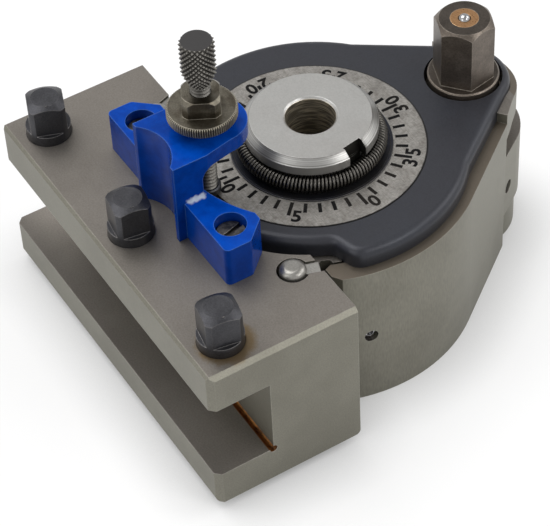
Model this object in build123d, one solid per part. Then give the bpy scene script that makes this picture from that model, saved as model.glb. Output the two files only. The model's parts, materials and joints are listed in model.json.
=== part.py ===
from build123d import *
import math
import os

# Quick-change lathe tool post head with one square-shank tool holder.
# Millimetres. The origin is on the head's axis at its base. +Z is up, +Y runs from the
# tool holder towards the clamping hexagon, and +X runs along the tool holder.
# The model is at rest in the unclamped state: the holder's teeth are just clear of the core.

# Toothed core
TOOTH_COUNT = 40
TOOTH_TIP_RADIUS = 30.95
TOOTH_DEPTH = 0.85
TOOTH_LAND = 1.9               # width of a tooth's tip, and of the gap's floor
HOLDER_TOOTH_COUNT = 7
HOLDER_RECESS_RUN = 0.2        # past the core's teeth, beside the holder's own
TOOTH_CLEARANCE = 0.12         # left on each flank when the teeth are home
CORE_UNDER_COVER = 0.35        # gap between the core and the cover
CORE_NUT_RECESS = 6.0
GUIDE_GROOVE_DEPTH = 3.35      # groove in the teeth that the claw screws run in
GUIDE_GROOVE_RUN = 1.0         # above and below the screws

# Clamp ring, the pear-shaped housing
RING_HEIGHT = 38.8
RING_RUN = 0.4                 # core to ring, radially
RING_WALL = 5.25
TIP_RADIUS = 12.8              # small end of the pear, about the clamping shaft
SHAFT_FROM_TEETH = 8.85        # core's tooth tips to the shaft's axis
HORN_GAP = 2.0                 # front faces of the ring to the holder's rear face
HORN_CHAMFER = 1.5
HORN_RELIEF = 1.55             # inner bevel of the horns, inside the core's tooth radius
HORN_RELIEF_ANGLE = 22.0       # of the bevel to the head's middle plane
SHOULDER_LENGTH = 7.4          # along each flank, from the tip's parts to the shaft
TIP_FOOT_RADIUS = 12.4
TIP_FOOT_HEIGHT = 10.0
TIP_PAD_RADIUS = 13.2
TIP_PAD_TOP = 28.5
TIP_GROOVE_RADIUS = 11.0
TIP_GROOVE_TOP = 34.0
TIP_CROWN_RADIUS = 12.0
STOP_HEIGHT = 2.7              # raised rim beside the cover's narrow end
STOP_SLOPE = 15.0              # degrees, down towards the tip
STOP_SLOPE_START = 5.0         # beyond the shaft's axis

# Tool holder block
HOLDER_LENGTH = 90.0
HOLDER_WIDTH = 35.45
HOLDER_HEIGHT = 39.7
HOLDER_LIFT = 2.5              # its underside above the head's base, as the adjusting screw sets it
HOLDER_ENGAGEMENT = 13.7       # rear face to the core's tooth tips, on the middle plane
SLOT_FLOOR = 9.3               # bottom jaw's thickness
SLOT_HEIGHT = 20.4             # for tools of 20 mm square shank
SLOT_DEPTH = 13.9
SLOT_RELIEF = 0.9              # radius of the clearance groove in the slot's lower corner
END_CHAMFER = 1.5
EDGE_CHAMFER = 1.0
CORNER_CHAMFER = 2.0
FOOT_RADIUS = 1.2

# Clamp screws of the tool holder
CLAMP_SCREW_COUNT = 3
CLAMP_SCREW_FROM_END = 8.2
CLAMP_SCREW_FROM_FRONT = 7.8
CLAMP_SCREW_RADIUS = 5.0
CLAMP_SCREW_SQUARE = 8.0
CLAMP_SCREW_COLLAR = 2.0       # round part that shows above the block
CLAMP_SCREW_HEAD = 8.3
CLAMP_SCREW_POINT = 4.0        # dog point that shows in the slot
CLAMP_SCREW_POINT_RADIUS = 3.5
CLAMP_SCREW_CROWN = 2.9        # radius of the flat on the head's top

# Centre sleeve and the ring nut that holds it
SLEEVE_RISE = 8.1              # above the cover
SLEEVE_RADIUS = 12.7
SLEEVE_BORE_RADIUS = 5.8
COLLAR_RADIUS = 14.7
COLLAR_HEIGHT = 3.4
COLLAR_CHAMFER = 1.5
BORE_CHAMFER = 0.35
NOTCH_WIDTH = 3.8
NOTCH_DEPTH = 2.4
NOTCH_ANGLE = 9.5
NUT_RADIUS = 16.6
NUT_HEIGHT = 4.6
NUT_SINK = 0.6                 # lower face above the base plane
NUT_SLOT = 4.0
NUT_SLOT_COUNT = 4

# Cover plate, dial and wear ring
COVER_THICKNESS = 4.6
COVER_INSET = 2.9              # flanks inside the ring's
COVER_ROUND_INSET = 2.2        # round part inside the ring's
COVER_TIP_RADIUS = 10.4
COVER_FRONT_INSET = 1.85       # front edge inside the core's tooth tips
COVER_EDGE_RADIUS = 1.9
COVER_NOSE_DROP = 18.8         # where the noses' front edges meet, in front of the head's axis
COVER_NOSE_SLOPE = 15.0        # degrees, of those edges
COVER_NOSE_RADIUS = 4.0
COVER_INNER_CORNER = 2.5
COVER_HOLE_RADIUS = 16.6
DIAL_RADIUS = 25.0
DIAL_DEPTH = 1.6
DIAL_PROUD = 0.15
WEAR_RING_RADIUS = 17.7
WEAR_RING_WALL = 2.5
WEAR_RING_LIP = 0.6
WEAR_RING_LIP_HEIGHT = 0.25
COVER_PIN_RADIUS = 1.1
COVER_PIN_LENGTH = 9.0
COVER_PIN_STAND = 1.6          # height in the cover
COVER_PIN_ANGLES = (0.0, 55.0)

# Garter spring around the sleeve
SPRING_TUBE_RADIUS = 1.8
SPRING_PLAY = 0.1
SPRING_RISE = 0.2              # above the wear ring's lip

# Clamping shaft with its eccentric
SHAFT_HEX = 12.0
SHAFT_HEX_TURN = 40.0          # turn of the hexagon about the shaft
SHAFT_RISE = 16.5              # above the cover
SHAFT_FLANGE_RADIUS = 8.0
SHAFT_FLANGE_RISE = 1.0        # above the cover
SHAFT_HEX_CROWN = 5.6
JOURNAL_RADIUS = 6.0
LOBE_RADIUS = 6.5
ECCENTRICITY = 0.75
CLAMP_TURN = 120.0             # degrees from free to clamped
LOBE_BOTTOM = 20.1
LOBE_HEIGHT = 12.6
SHAFT_BASE = 1.6
SHAFT_GROOVE_RADIUS = 3.4
BUSH_WALL = 1.5
LOWER_BUSH_LENGTH = 12.5
SHAFT_HOLE_RADIUS = 8.7        # in the cover

# Cross pin that keeps the shaft in the ring
CROSS_PIN_RADIUS = 1.7
CROSS_PIN_LENGTH = 12.0
CROSS_PIN_HEIGHT = 17.4
CROSS_PIN_SINK = 0.5

# Ball catch in the hexagon
CATCH_RADIUS = 3.15
CATCH_LENGTH = 8.4
BALL_RADIUS = 1.4
BALL_DEPTH = 0.5               # ball's centre under the hexagon's top
CATCH_SPRING_RADIUS = 1.2
CATCH_SPRING_WALL = 0.35
CATCH_FLOOR = 1.0

# Thrust shoe between the eccentric and the core
SHOE_WIDTH = 24.0
SHOE_PLAY = 0.2                # shoe to the eccentric

# Claws, the two beaded pins that draw the holder in
CLAW_FROM_TEETH = 5.42         # bead's centre outside the core's tooth tips
CLAW_ANGLE = -38.4             # about the head's axis, from +X
CLAW_PIN_RADIUS = 2.95
CLAW_SOCKET_PLAY = 0.53
CLAW_WEB = 2.9
CLAW_WEB_PLAY = 0.25
CLAW_WEB_SPREAD = 1.9          # how far the web runs outwards inside the holder
CLAW_NECK = 1.6
CLAW_DOME = 1.6
CLAW_RISE = 4.7                # above the ring
CLAW_WEB_RISE = 3.0            # above the ring
CLAW_BASE = 0.6
CLAW_ROOT_DROP = 6.3           # root's top under the ring's
CLAW_ROOT_WIDTH = 6.0
CLAW_ROOT_THICKNESS = 2.4
CLAW_SCREW_RADIUS = 1.5
CLAW_SCREW_HEIGHT = 19.45
CLAW_SCREW_ANGLE = -12.8       # about the head's axis, from +X
CLAW_SCREW_SINK = 0.9
CLAW_SCREW_SOCKET = 0.8
CLAW_SCREW_POINT = 1.3         # tip to the floor of the core's groove
CLAW_SLOT_PLAY = 0.05

# Height bracket on the holder, placed from the holder's rear face
BRACKET_HALF_LENGTH = 25.0
BRACKET_FRONT = 18.75          # ears' front faces
EAR_HEIGHT = 10.1
EAR_RUN = 0.35                 # ears' hollow outside the core's tooth tips
EAR_END_WIDTH = 6.0
EAR_END_SLOPE = 4.4
EAR_END_RISE = 4.8
COLUMN_WIDTH = 16.8
COLUMN_PROUD = 2.0             # in front of the ears
COLUMN_DEPTH = 6.7
ARM_RISE = 20.9                # top of the arm above the holder
ARM_THICKNESS = 3.6
ARM_TIP_WIDTH = 14.2
ARM_OVERHANG = 0.95            # past the holder's rear face
ARM_TAPER = 8.0                # where the taper starts, from the column's front
ARM_ROOT_FILLET = 3.0
SCALLOP_RADIUS = 10.0          # room for a wrench on the middle clamp screw
BRACKET_CORNER = 1.2
EAR_BOLT_X = 18.6
EAR_BOLT_Y = 13.85
EAR_COUNTERBORE_RADIUS = 3.4
EAR_COUNTERBORE_FLOOR = 3.5
EAR_BOLT_RADIUS = 2.0
EAR_BOLT_HEAD_RADIUS = 3.1
EAR_BOLT_HEAD = 2.6
EAR_BOLT_GRIP = 6.0            # length in the holder
EAR_BOLT_SLOT_WIDTH = 1.0
EAR_BOLT_SLOT_DEPTH = 1.1
EAR_BOLT_SLOT_TURN = 60.0

# Height adjusting screw and its lock nut
ADJUSTER_Y = 8.65              # from the holder's rear face
ADJUSTER_RADIUS = 2.5
ADJUSTER_FOOT_RADIUS = 2.8
ADJUSTER_FOOT_HEIGHT = 2.1
KNOB_RADIUS = 3.6
KNOB_TAPER = 3.3
KNOB_LENGTH = 8.4
KNOB_RISE = 11.4               # above the arm
KNOB_CROWN = 0.4
LOCK_NUT_RADIUS = 7.5
LOCK_NUT_FLANGE = 2.5
LOCK_NUT_SQUARE = 8.0
LOCK_NUT_ROUND = 4.9
LOCK_NUT_HEIGHT = 6.7
LOCK_NUT_RISE = 2.7            # above the arm
LOCK_NUT_TURN = -29.0
LOCK_NUT_CROWN = 0.7

# Clearances
RUN = 0.3                      # between moving pieces
FIT = 0.05                     # radial, between a shaft and its hole

# Worked out from the dimensions above
TOOTH_ROOT_RADIUS = TOOTH_TIP_RADIUS - TOOTH_DEPTH
TOOTH_PITCH = 360.0 / TOOTH_COUNT
CORE_HEIGHT = RING_HEIGHT - CORE_UNDER_COVER
GUIDE_GROOVE_RADIUS = TOOTH_TIP_RADIUS - GUIDE_GROOVE_DEPTH
RING_BORE = TOOTH_TIP_RADIUS + RING_RUN
RING_RADIUS = RING_BORE + RING_WALL
SHAFT_OFFSET = TOOTH_TIP_RADIUS + SHAFT_FROM_TEETH
FLANK_ANGLE = math.degrees(math.asin((RING_RADIUS - TIP_RADIUS) / SHAFT_OFFSET))
CLAMP_STROKE = 2 * ECCENTRICITY * math.sin(math.radians(CLAMP_TURN / 2))
HOLDER_REAR = TOOTH_TIP_RADIUS - HOLDER_ENGAGEMENT
HOLDER_FRONT = HOLDER_REAR + HOLDER_WIDTH
HOLDER_TOP = HOLDER_LIFT + HOLDER_HEIGHT
HORN_FRONT = HOLDER_REAR - HORN_GAP
SLOT_BASE = HOLDER_LIFT + SLOT_FLOOR
SLOT_TOP = SLOT_BASE + SLOT_HEIGHT
CLAMP_SCREW_Y = -HOLDER_FRONT + CLAMP_SCREW_FROM_FRONT
COVER_TOP = RING_HEIGHT + COVER_THICKNESS
DIAL_TOP = COVER_TOP + DIAL_PROUD
DIAL_BASE = COVER_TOP - DIAL_DEPTH
SLEEVE_TOP = COVER_TOP + SLEEVE_RISE
COLLAR_BASE = SLEEVE_TOP - COLLAR_HEIGHT
SPRING_RADIUS = SLEEVE_RADIUS + SPRING_PLAY + SPRING_TUBE_RADIUS
SPRING_HEIGHT = DIAL_TOP + WEAR_RING_LIP_HEIGHT + SPRING_RISE + SPRING_TUBE_RADIUS
BUSH_RADIUS = JOURNAL_RADIUS + FIT + BUSH_WALL
SHAFT_TOP = COVER_TOP + SHAFT_RISE
SHAFT_FLANGE_TOP = COVER_TOP + SHAFT_FLANGE_RISE
LOBE_TOP = LOBE_BOTTOM + LOBE_HEIGHT
LOBE_START = CLAMP_TURN / 2    # of the lobe at rest, from +X
CLAW_SCREW_HOLE = CLAW_SCREW_RADIUS + FIT
CLAW_ROOT_TOP = RING_HEIGHT - CLAW_ROOT_DROP
ARM_TOP = HOLDER_TOP + ARM_RISE
ADJUSTER_PLACE = -HOLDER_REAR - ADJUSTER_Y
CUT = 1.0                      # how far a cutter runs past a face
BIG = 200.0


def disc(radius, low, high, x=0.0, y=0.0):
    """Upright cylinder between two heights."""
    return Pos(x, y, low) * extrude(Circle(radius), high - low)


def block(x_low, x_high, y_low, y_high, z_low, z_high):
    """Box between two corners."""
    size = Box(x_high - x_low, y_high - y_low, z_high - z_low)
    return Pos((x_low + x_high) / 2, (y_low + y_high) / 2, (z_low + z_high) / 2) * size


def upright(sketch, low, high):
    """Sketch in plan, raised between two heights."""
    return Pos(0, 0, low) * extrude(sketch, high - low)


def turned(points):
    """Solid of revolution about the head's axis from (radius, height) points."""
    profile = make_face(Polyline(*[(r, 0, z) for r, z in points], close=True))
    return revolve(profile, Axis.Z)


def polar(radius, degrees):
    angle = math.radians(degrees)
    return radius * math.cos(angle), radius * math.sin(angle)


def pear(radius, tip_radius):
    """Plan of a large circle on the head's axis joined by tangents to a small one on the shaft."""
    sine = (radius - tip_radius) / SHAFT_OFFSET
    cosine = math.sqrt(1 - sine * sine)
    right = [(radius * cosine, radius * sine), (tip_radius * cosine, SHAFT_OFFSET + tip_radius * sine)]
    left = [(-x, y) for x, y in reversed(right)]
    flanks = make_face(Polyline(*right, *left, close=True))
    return flanks + Circle(radius) + Pos(0, SHAFT_OFFSET) * Circle(tip_radius)


def both_sides(shape):
    """A shape and its mirror image across the plane x = 0."""
    return [shape, mirror(shape, Plane.YZ)]


def gap_half_angles():
    """Half angles of a tooth gap at its floor and at its mouth."""
    floor = math.degrees(TOOTH_LAND / 2 / TOOTH_ROOT_RADIUS)
    mouth = TOOTH_PITCH / 2 - math.degrees(TOOTH_LAND / 2 / TOOTH_TIP_RADIUS)
    return floor, mouth


def core():
    floor, mouth = gap_half_angles()
    points = []
    for index in range(TOOTH_COUNT):
        middle = -90.0 + index * TOOTH_PITCH
        points.append(polar(TOOTH_TIP_RADIUS, middle - mouth))
        points.append(polar(TOOTH_ROOT_RADIUS, middle - floor))
        points.append(polar(TOOTH_ROOT_RADIUS, middle + floor))
        points.append(polar(TOOTH_TIP_RADIUS, middle + mouth))
    body = upright(make_face(Polyline(*points, close=True)), 0, CORE_HEIGHT)
    body -= disc(SLEEVE_RADIUS, -CUT, CORE_HEIGHT + CUT)
    body -= disc(NUT_RADIUS + RUN, -CUT, CORE_NUT_RECESS)
    half = CLAW_SCREW_RADIUS + GUIDE_GROOVE_RUN
    low, high = CLAW_SCREW_HEIGHT - half, CLAW_SCREW_HEIGHT + half
    groove = disc(TOOTH_TIP_RADIUS + CUT, low, high)
    return body - (groove - disc(GUIDE_GROOVE_RADIUS, low - CUT, high + CUT))


def centre_sleeve():
    rim = SLEEVE_BORE_RADIUS + BORE_CHAMFER
    body = turned([
        (SLEEVE_BORE_RADIUS, 0), (SLEEVE_RADIUS, 0), (SLEEVE_RADIUS, COLLAR_BASE),
        (COLLAR_RADIUS, COLLAR_BASE), (COLLAR_RADIUS, SLEEVE_TOP - COLLAR_CHAMFER),
        (COLLAR_RADIUS - COLLAR_CHAMFER, SLEEVE_TOP), (rim, SLEEVE_TOP),
        (SLEEVE_BORE_RADIUS, SLEEVE_TOP - BORE_CHAMFER),
    ])
    half = NOTCH_WIDTH / 2
    notch = block(COLLAR_RADIUS - NOTCH_DEPTH, COLLAR_RADIUS + CUT, -half, half, COLLAR_BASE, BIG)
    return body - Rot(0, 0, NOTCH_ANGLE) * notch


def sleeve_nut():
    top = NUT_SINK + NUT_HEIGHT
    body = disc(NUT_RADIUS, NUT_SINK, top) - disc(SLEEVE_RADIUS, 0, top + CUT)
    slot = block(NUT_RADIUS - NUT_SLOT / 2, BIG, -NUT_SLOT / 2, NUT_SLOT / 2, 0, top + CUT)
    for index in range(NUT_SLOT_COUNT):
        body -= Rot(0, 0, index * 360 / NUT_SLOT_COUNT) * slot
    return body


def garter_spring():
    section = Pos(SPRING_RADIUS, 0, SPRING_HEIGHT) * (Plane.XZ * Circle(SPRING_TUBE_RADIUS))
    return revolve(section, Axis.Z)


def wear_ring():
    inner = WEAR_RING_RADIUS - WEAR_RING_WALL
    lip = WEAR_RING_RADIUS - WEAR_RING_LIP
    return turned([
        (inner, DIAL_BASE), (WEAR_RING_RADIUS, DIAL_BASE), (WEAR_RING_RADIUS, DIAL_TOP + WEAR_RING_LIP_HEIGHT),
        (lip, DIAL_TOP + WEAR_RING_LIP_HEIGHT), (lip, DIAL_TOP), (inner, DIAL_TOP),
    ])


def dial_ring():
    return disc(DIAL_RADIUS, DIAL_BASE, DIAL_TOP) - disc(WEAR_RING_RADIUS, 0, BIG)


def cover_outline():
    """Plan of the cover: a pear with a wider round part, cut back in front between two noses."""
    shape = pear(RING_RADIUS - COVER_INSET, COVER_TIP_RADIUS) + Circle(RING_RADIUS - COVER_ROUND_INSET)
    rise = BIG * math.tan(math.radians(COVER_NOSE_SLOPE))
    corners = [(BIG, rise - COVER_NOSE_DROP), (BIG, -BIG), (-BIG, -BIG), (-BIG, rise - COVER_NOSE_DROP)]
    shape -= make_face(Polyline((0, -COVER_NOSE_DROP), *corners, close=True))
    shape = offset(offset(shape, -COVER_NOSE_RADIUS), COVER_NOSE_RADIUS)
    shape += Circle(TOOTH_TIP_RADIUS - COVER_FRONT_INSET)
    return offset(offset(shape, COVER_INNER_CORNER), -COVER_INNER_CORNER)


def cover_plate():
    plate = upright(cover_outline(), RING_HEIGHT, COVER_TOP)
    plate = fillet(plate.faces().sort_by(Axis.Z)[-1].edges(), COVER_EDGE_RADIUS)
    plate -= disc(COVER_HOLE_RADIUS, 0, BIG)
    plate -= disc(DIAL_RADIUS, DIAL_BASE, BIG)
    plate -= disc(SHAFT_HOLE_RADIUS, 0, BIG, y=SHAFT_OFFSET)
    for x, y in cover_pin_places():
        plate -= disc(COVER_PIN_RADIUS, 0, RING_HEIGHT + COVER_PIN_STAND, x, y)
    return plate


def cover_pin_places():
    """Plan places of the pins, between the ring's bore and the cover's edge."""
    middle = (RING_BORE + RING_RADIUS - COVER_ROUND_INSET) / 2
    return [polar(middle, turn) for angle in COVER_PIN_ANGLES for turn in (angle, 180 - angle)]


def cover_pins():
    low = RING_HEIGHT + COVER_PIN_STAND - COVER_PIN_LENGTH
    return [disc(COVER_PIN_RADIUS, low, low + COVER_PIN_LENGTH, x, y) for x, y in cover_pin_places()]


def shaft_bores():
    """Room in the ring for the clamping shaft, its bushes and the eccentric."""
    room = disc(BUSH_RADIUS, -CUT, BIG, y=SHAFT_OFFSET)
    return room + disc(LOBE_RADIUS + ECCENTRICITY + RUN, LOBE_BOTTOM - RUN, LOBE_TOP + RUN, y=SHAFT_OFFSET)


def shoe_back():
    """Flat rear face of the thrust shoe, seen from the head's axis."""
    start = ECCENTRICITY * math.cos(math.radians(90.0 - LOBE_START))
    return SHAFT_OFFSET + start - LOBE_RADIUS - SHOE_PLAY


def shoe_pocket():
    half = SHOE_WIDTH / 2 + RUN
    return block(-half, half, RING_BORE / 2, shoe_back() + RUN, LOBE_BOTTOM - RUN, LOBE_TOP)


def claw_points():
    """Plan points of the right-hand claw: bead, mouth of the holder's socket, root in the ring."""
    bead = polar(TOOTH_TIP_RADIUS + CLAW_FROM_TEETH, CLAW_ANGLE)
    root = polar(RING_BORE + RING_WALL / 2, CLAW_SCREW_ANGLE)
    return bead, (bead[0] + CLAW_WEB_SPREAD, -HOLDER_REAR), root


def claw_root(play, low, high):
    """Root of the right-hand claw, a plate in the middle of the ring's wall, with its neck."""
    mouth, root = claw_points()[1:]
    neck = web(mouth, root, CLAW_NECK + 2 * play, low, high)
    half = CLAW_ROOT_WIDTH / 2 + play
    thick = CLAW_ROOT_THICKNESS / 2 + play
    plate = Pos(*root) * Rot(0, 0, CLAW_SCREW_ANGLE) * block(-thick, thick, -half, half, low, high)
    return neck + plate


def web(start, end, width, low, high, past=0.0):
    """Upright plate between two plan points, with a round end past each of them on request."""
    run_x, run_y = end[0] - start[0], end[1] - start[1]
    length = math.hypot(run_x, run_y) + past
    turn = math.degrees(math.atan2(run_y, run_x))
    plate = block(0, length, -width / 2, width / 2, low, high)
    return Pos(start[0], start[1], 0) * Rot(0, 0, turn) * plate


def claw_slot():
    """Room in the ring for the right-hand claw's neck and root, open at the ring's base."""
    return claw_root(CLAW_SLOT_PLAY, -CUT, CLAW_ROOT_TOP + RUN)


def claw_screw_hole():
    length = RING_RADIUS + CUT - GUIDE_GROOVE_RADIUS
    hole = Rot(0, 90, 0) * extrude(Circle(CLAW_SCREW_HOLE), length)
    return Rot(0, 0, CLAW_SCREW_ANGLE) * Pos(GUIDE_GROOVE_RADIUS, 0, CLAW_SCREW_HEIGHT) * hole


def cross_pin(start):
    """Pin square to the ring's right flank, beside the shaft in its groove, from a depth inwards."""
    side = SHAFT_GROOVE_RADIUS + CROSS_PIN_RADIUS + FIT
    pin = Rot(0, -90, 0) * extrude(Circle(CROSS_PIN_RADIUS), CROSS_PIN_LENGTH - start)
    pin = Pos(TIP_RADIUS - start, -side, CROSS_PIN_HEIGHT) * pin
    return Pos(0, SHAFT_OFFSET, 0) * Rot(0, 0, FLANK_ANGLE) * pin


def tip_room():
    """All that lies beyond the shoulders in which the two flanks end."""
    side = block(-BIG, BIG, -SHOULDER_LENGTH, BIG, -CUT, BIG)
    right, left = [Pos(0, SHAFT_OFFSET, 0) * Rot(0, 0, turn) * side for turn in (FLANK_ANGLE, -FLANK_ANGLE)]
    return right & left


def tip_plan(radius):
    """Plan of the tip: from each shoulder straight to a round about the shaft."""
    normal = math.radians(FLANK_ANGLE)
    x = TIP_RADIUS * math.cos(normal) + SHOULDER_LENGTH * math.sin(normal)
    y = TIP_RADIUS * math.sin(normal) - SHOULDER_LENGTH * math.cos(normal)
    touch = math.atan2(y, x) + math.acos(radius / math.hypot(x, y))
    right = [(x, y), (radius * math.cos(touch), radius * math.sin(touch))]
    left = [(-x, y) for x, y in reversed(right)]
    apex = (0, -SHOULDER_LENGTH / math.cos(normal))
    return Pos(0, SHAFT_OFFSET) * (make_face(Polyline(apex, *right, *left, close=True)) + Circle(radius))


def tip():
    """Narrow end of the ring: turned foot, pad, groove, and a crown whose rim stands above the ring."""
    foot = disc(TIP_FOOT_RADIUS, 0, TIP_FOOT_HEIGHT, y=SHAFT_OFFSET)
    pad = upright(tip_plan(TIP_PAD_RADIUS), TIP_FOOT_HEIGHT, TIP_PAD_TOP)
    groove = disc(TIP_GROOVE_RADIUS, TIP_PAD_TOP, TIP_GROOVE_TOP, y=SHAFT_OFFSET)
    crown = upright(tip_plan(TIP_CROWN_RADIUS), TIP_GROOVE_TOP, RING_HEIGHT + STOP_HEIGHT)
    slope = Pos(0, SHAFT_OFFSET + STOP_SLOPE_START, RING_HEIGHT + STOP_HEIGHT) * Rot(-STOP_SLOPE, 0, 0)
    crown -= slope * block(-BIG, BIG, 0, BIG, 0, BIG)
    return foot + pad + groove + crown


def horn_relief():
    """Room beside the right-hand horn's inner corner, in front of its bevel."""
    bevel = block(-BIG, 0, -CUT, RING_RADIUS, -CUT, BIG)
    bevel = Pos(TOOTH_TIP_RADIUS - HORN_RELIEF, -HORN_FRONT, 0) * Rot(0, 0, HORN_RELIEF_ANGLE) * bevel
    return bevel & block(RING_BORE / 2, RING_RADIUS, -HORN_FRONT - CUT, 0, -CUT, BIG)


def clamp_ring():
    body = upright(pear(RING_RADIUS, TIP_RADIUS), 0, RING_HEIGHT)
    body = body - tip_room() + tip()
    body -= upright(offset(pear(RING_RADIUS - COVER_INSET, COVER_TIP_RADIUS), FIT), RING_HEIGHT, BIG)
    bore = disc(RING_BORE, -CUT, BIG) + disc(RING_BORE, -CUT, BIG, y=-CLAMP_STROKE)
    bore += block(-RING_BORE, RING_BORE, -CLAMP_STROKE, 0, -CUT, BIG)
    body -= bore
    body -= block(-BIG, BIG, -BIG, -HORN_FRONT, -CUT, BIG)
    corners = body.edges().filter_by(Axis.Z).filter_by(lambda e: horn_corner(e.center()))
    body = chamfer(corners, HORN_CHAMFER)
    body -= shaft_bores() + shoe_pocket()
    for cutter in (horn_relief(), claw_slot(), claw_screw_hole()):
        for room in both_sides(cutter):
            body -= room
    body -= cross_pin(-CUT)
    for x, y in cover_pin_places():
        body -= disc(COVER_PIN_RADIUS, RING_HEIGHT + COVER_PIN_STAND - COVER_PIN_LENGTH, BIG, x, y)
    return body


def horn_corner(point):
    """True for the outer front corners of the ring."""
    return abs(point.Y + HORN_FRONT) < FIT and abs(point.X) > RING_BORE


def claw():
    bead, mouth = claw_points()[:2]
    pin = disc(CLAW_PIN_RADIUS, CLAW_BASE, RING_HEIGHT + CLAW_RISE, *bead)
    pin = fillet(pin.faces().sort_by(Axis.Z)[-1].edges(), CLAW_DOME)
    body = pin + web(bead, mouth, CLAW_WEB, CLAW_BASE, RING_HEIGHT + CLAW_WEB_RISE)
    body += disc(CLAW_NECK / 2, CLAW_BASE, CLAW_ROOT_TOP, *mouth)
    body += claw_root(0, CLAW_BASE, CLAW_ROOT_TOP)
    return body - claw_screw_hole()


def claw_screw():
    reach = GUIDE_GROOVE_RADIUS + CLAW_SCREW_POINT
    length = RING_RADIUS - CLAW_SCREW_SINK - reach
    screw = extrude(Circle(CLAW_SCREW_RADIUS), length)
    screw -= Pos(0, 0, length - CLAW_SCREW_SOCKET) * extrude(RegularPolygon(CLAW_SCREW_RADIUS / 2, 6), CUT)
    return Rot(0, 0, CLAW_SCREW_ANGLE) * Pos(reach, 0, CLAW_SCREW_HEIGHT) * Rot(0, 90, 0) * screw


def thrust_shoe():
    half = SHOE_WIDTH / 2
    body = block(-half, half, 0, shoe_back(), LOBE_BOTTOM, LOBE_TOP - RUN)
    return body - disc(TOOTH_TIP_RADIUS + RUN, 0, BIG)


def clamping_shaft():
    shaft = disc(JOURNAL_RADIUS, SHAFT_BASE, SHAFT_FLANGE_TOP)
    groove = CROSS_PIN_RADIUS + RUN
    ring = disc(JOURNAL_RADIUS + CUT, CROSS_PIN_HEIGHT - groove, CROSS_PIN_HEIGHT + groove)
    shaft -= ring - disc(SHAFT_GROOVE_RADIUS, 0, BIG)
    lobe_x, lobe_y = polar(ECCENTRICITY, LOBE_START)
    shaft += disc(LOBE_RADIUS, LOBE_BOTTOM, LOBE_TOP, lobe_x, lobe_y)
    flange = disc(SHAFT_FLANGE_RADIUS, RING_HEIGHT + RUN, SHAFT_FLANGE_TOP)
    shaft += chamfer(flange.faces().sort_by(Axis.Z)[-1].edges(), RUN)
    across = SHAFT_HEX / math.sqrt(3)
    hexagon = Rot(0, 0, SHAFT_HEX_TURN) * RegularPolygon(across, 6)
    head = upright(hexagon, SHAFT_FLANGE_TOP, SHAFT_TOP)
    drop = across - SHAFT_HEX_CROWN
    head &= turned([
        (0, 0), (across, 0), (across, SHAFT_TOP - drop), (SHAFT_HEX_CROWN, SHAFT_TOP), (0, SHAFT_TOP),
    ])
    shaft += head
    shaft -= disc(CATCH_RADIUS, SHAFT_TOP - CATCH_LENGTH, BIG)
    return Pos(0, SHAFT_OFFSET, 0) * shaft


def bush(low, high):
    return disc(BUSH_RADIUS, low, high, y=SHAFT_OFFSET) - disc(JOURNAL_RADIUS + FIT, 0, BIG, y=SHAFT_OFFSET)


def upper_bush():
    return bush(LOBE_TOP + RUN, RING_HEIGHT)


def lower_bush():
    return bush(SHAFT_BASE, SHAFT_BASE + LOWER_BUSH_LENGTH)


def catch_sleeve():
    low = SHAFT_TOP - CATCH_LENGTH
    body = disc(CATCH_RADIUS, low, SHAFT_TOP, y=SHAFT_OFFSET)
    return body - disc(BALL_RADIUS + FIT, low + CATCH_FLOOR, BIG, y=SHAFT_OFFSET)


def catch_ball():
    return Pos(0, SHAFT_OFFSET, SHAFT_TOP - BALL_DEPTH) * Sphere(BALL_RADIUS)


def catch_spring():
    low = SHAFT_TOP - CATCH_LENGTH + CATCH_FLOOR
    high = SHAFT_TOP - BALL_DEPTH - BALL_RADIUS
    outside = disc(CATCH_SPRING_RADIUS, low, high, y=SHAFT_OFFSET)
    return outside - disc(CATCH_SPRING_RADIUS - CATCH_SPRING_WALL, low - CUT, high + CUT, y=SHAFT_OFFSET)


def clamp_screw_places():
    first = CLAMP_SCREW_FROM_END - HOLDER_LENGTH / 2
    pitch = -2 * first / (CLAMP_SCREW_COUNT - 1)
    return [(first + index * pitch, CLAMP_SCREW_Y) for index in range(CLAMP_SCREW_COUNT)]


def holder_teeth(play):
    """Teeth of the holder, in the place they take when it is clamped, with play on their flanks."""
    floor, mouth = gap_half_angles()
    narrow = math.degrees(play / TOOTH_TIP_RADIUS)
    outer = TOOTH_TIP_RADIUS + HOLDER_RECESS_RUN + CUT
    teeth = []
    for index in range(HOLDER_TOOTH_COUNT):
        middle = -90.0 + (index - (HOLDER_TOOTH_COUNT - 1) / 2) * TOOTH_PITCH
        corners = [
            polar(outer, middle - mouth + narrow), polar(TOOTH_TIP_RADIUS, middle - mouth + narrow),
            polar(TOOTH_ROOT_RADIUS + play, middle - floor + narrow),
            polar(TOOTH_ROOT_RADIUS + play, middle + floor - narrow),
            polar(TOOTH_TIP_RADIUS, middle + mouth - narrow), polar(outer, middle + mouth - narrow),
        ]
        teeth.append(upright(make_face(Polyline(*corners, close=True)), HOLDER_LIFT, HOLDER_TOP))
    return teeth


def socket():
    """Room in the holder for the right-hand claw."""
    bead, mouth = claw_points()[:2]
    width = CLAW_WEB + 2 * CLAW_WEB_PLAY
    room = disc(CLAW_PIN_RADIUS + CLAW_SOCKET_PLAY, -CUT, BIG, *bead)
    return room + web(bead, mouth, width, -CUT, BIG, past=width)


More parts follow.
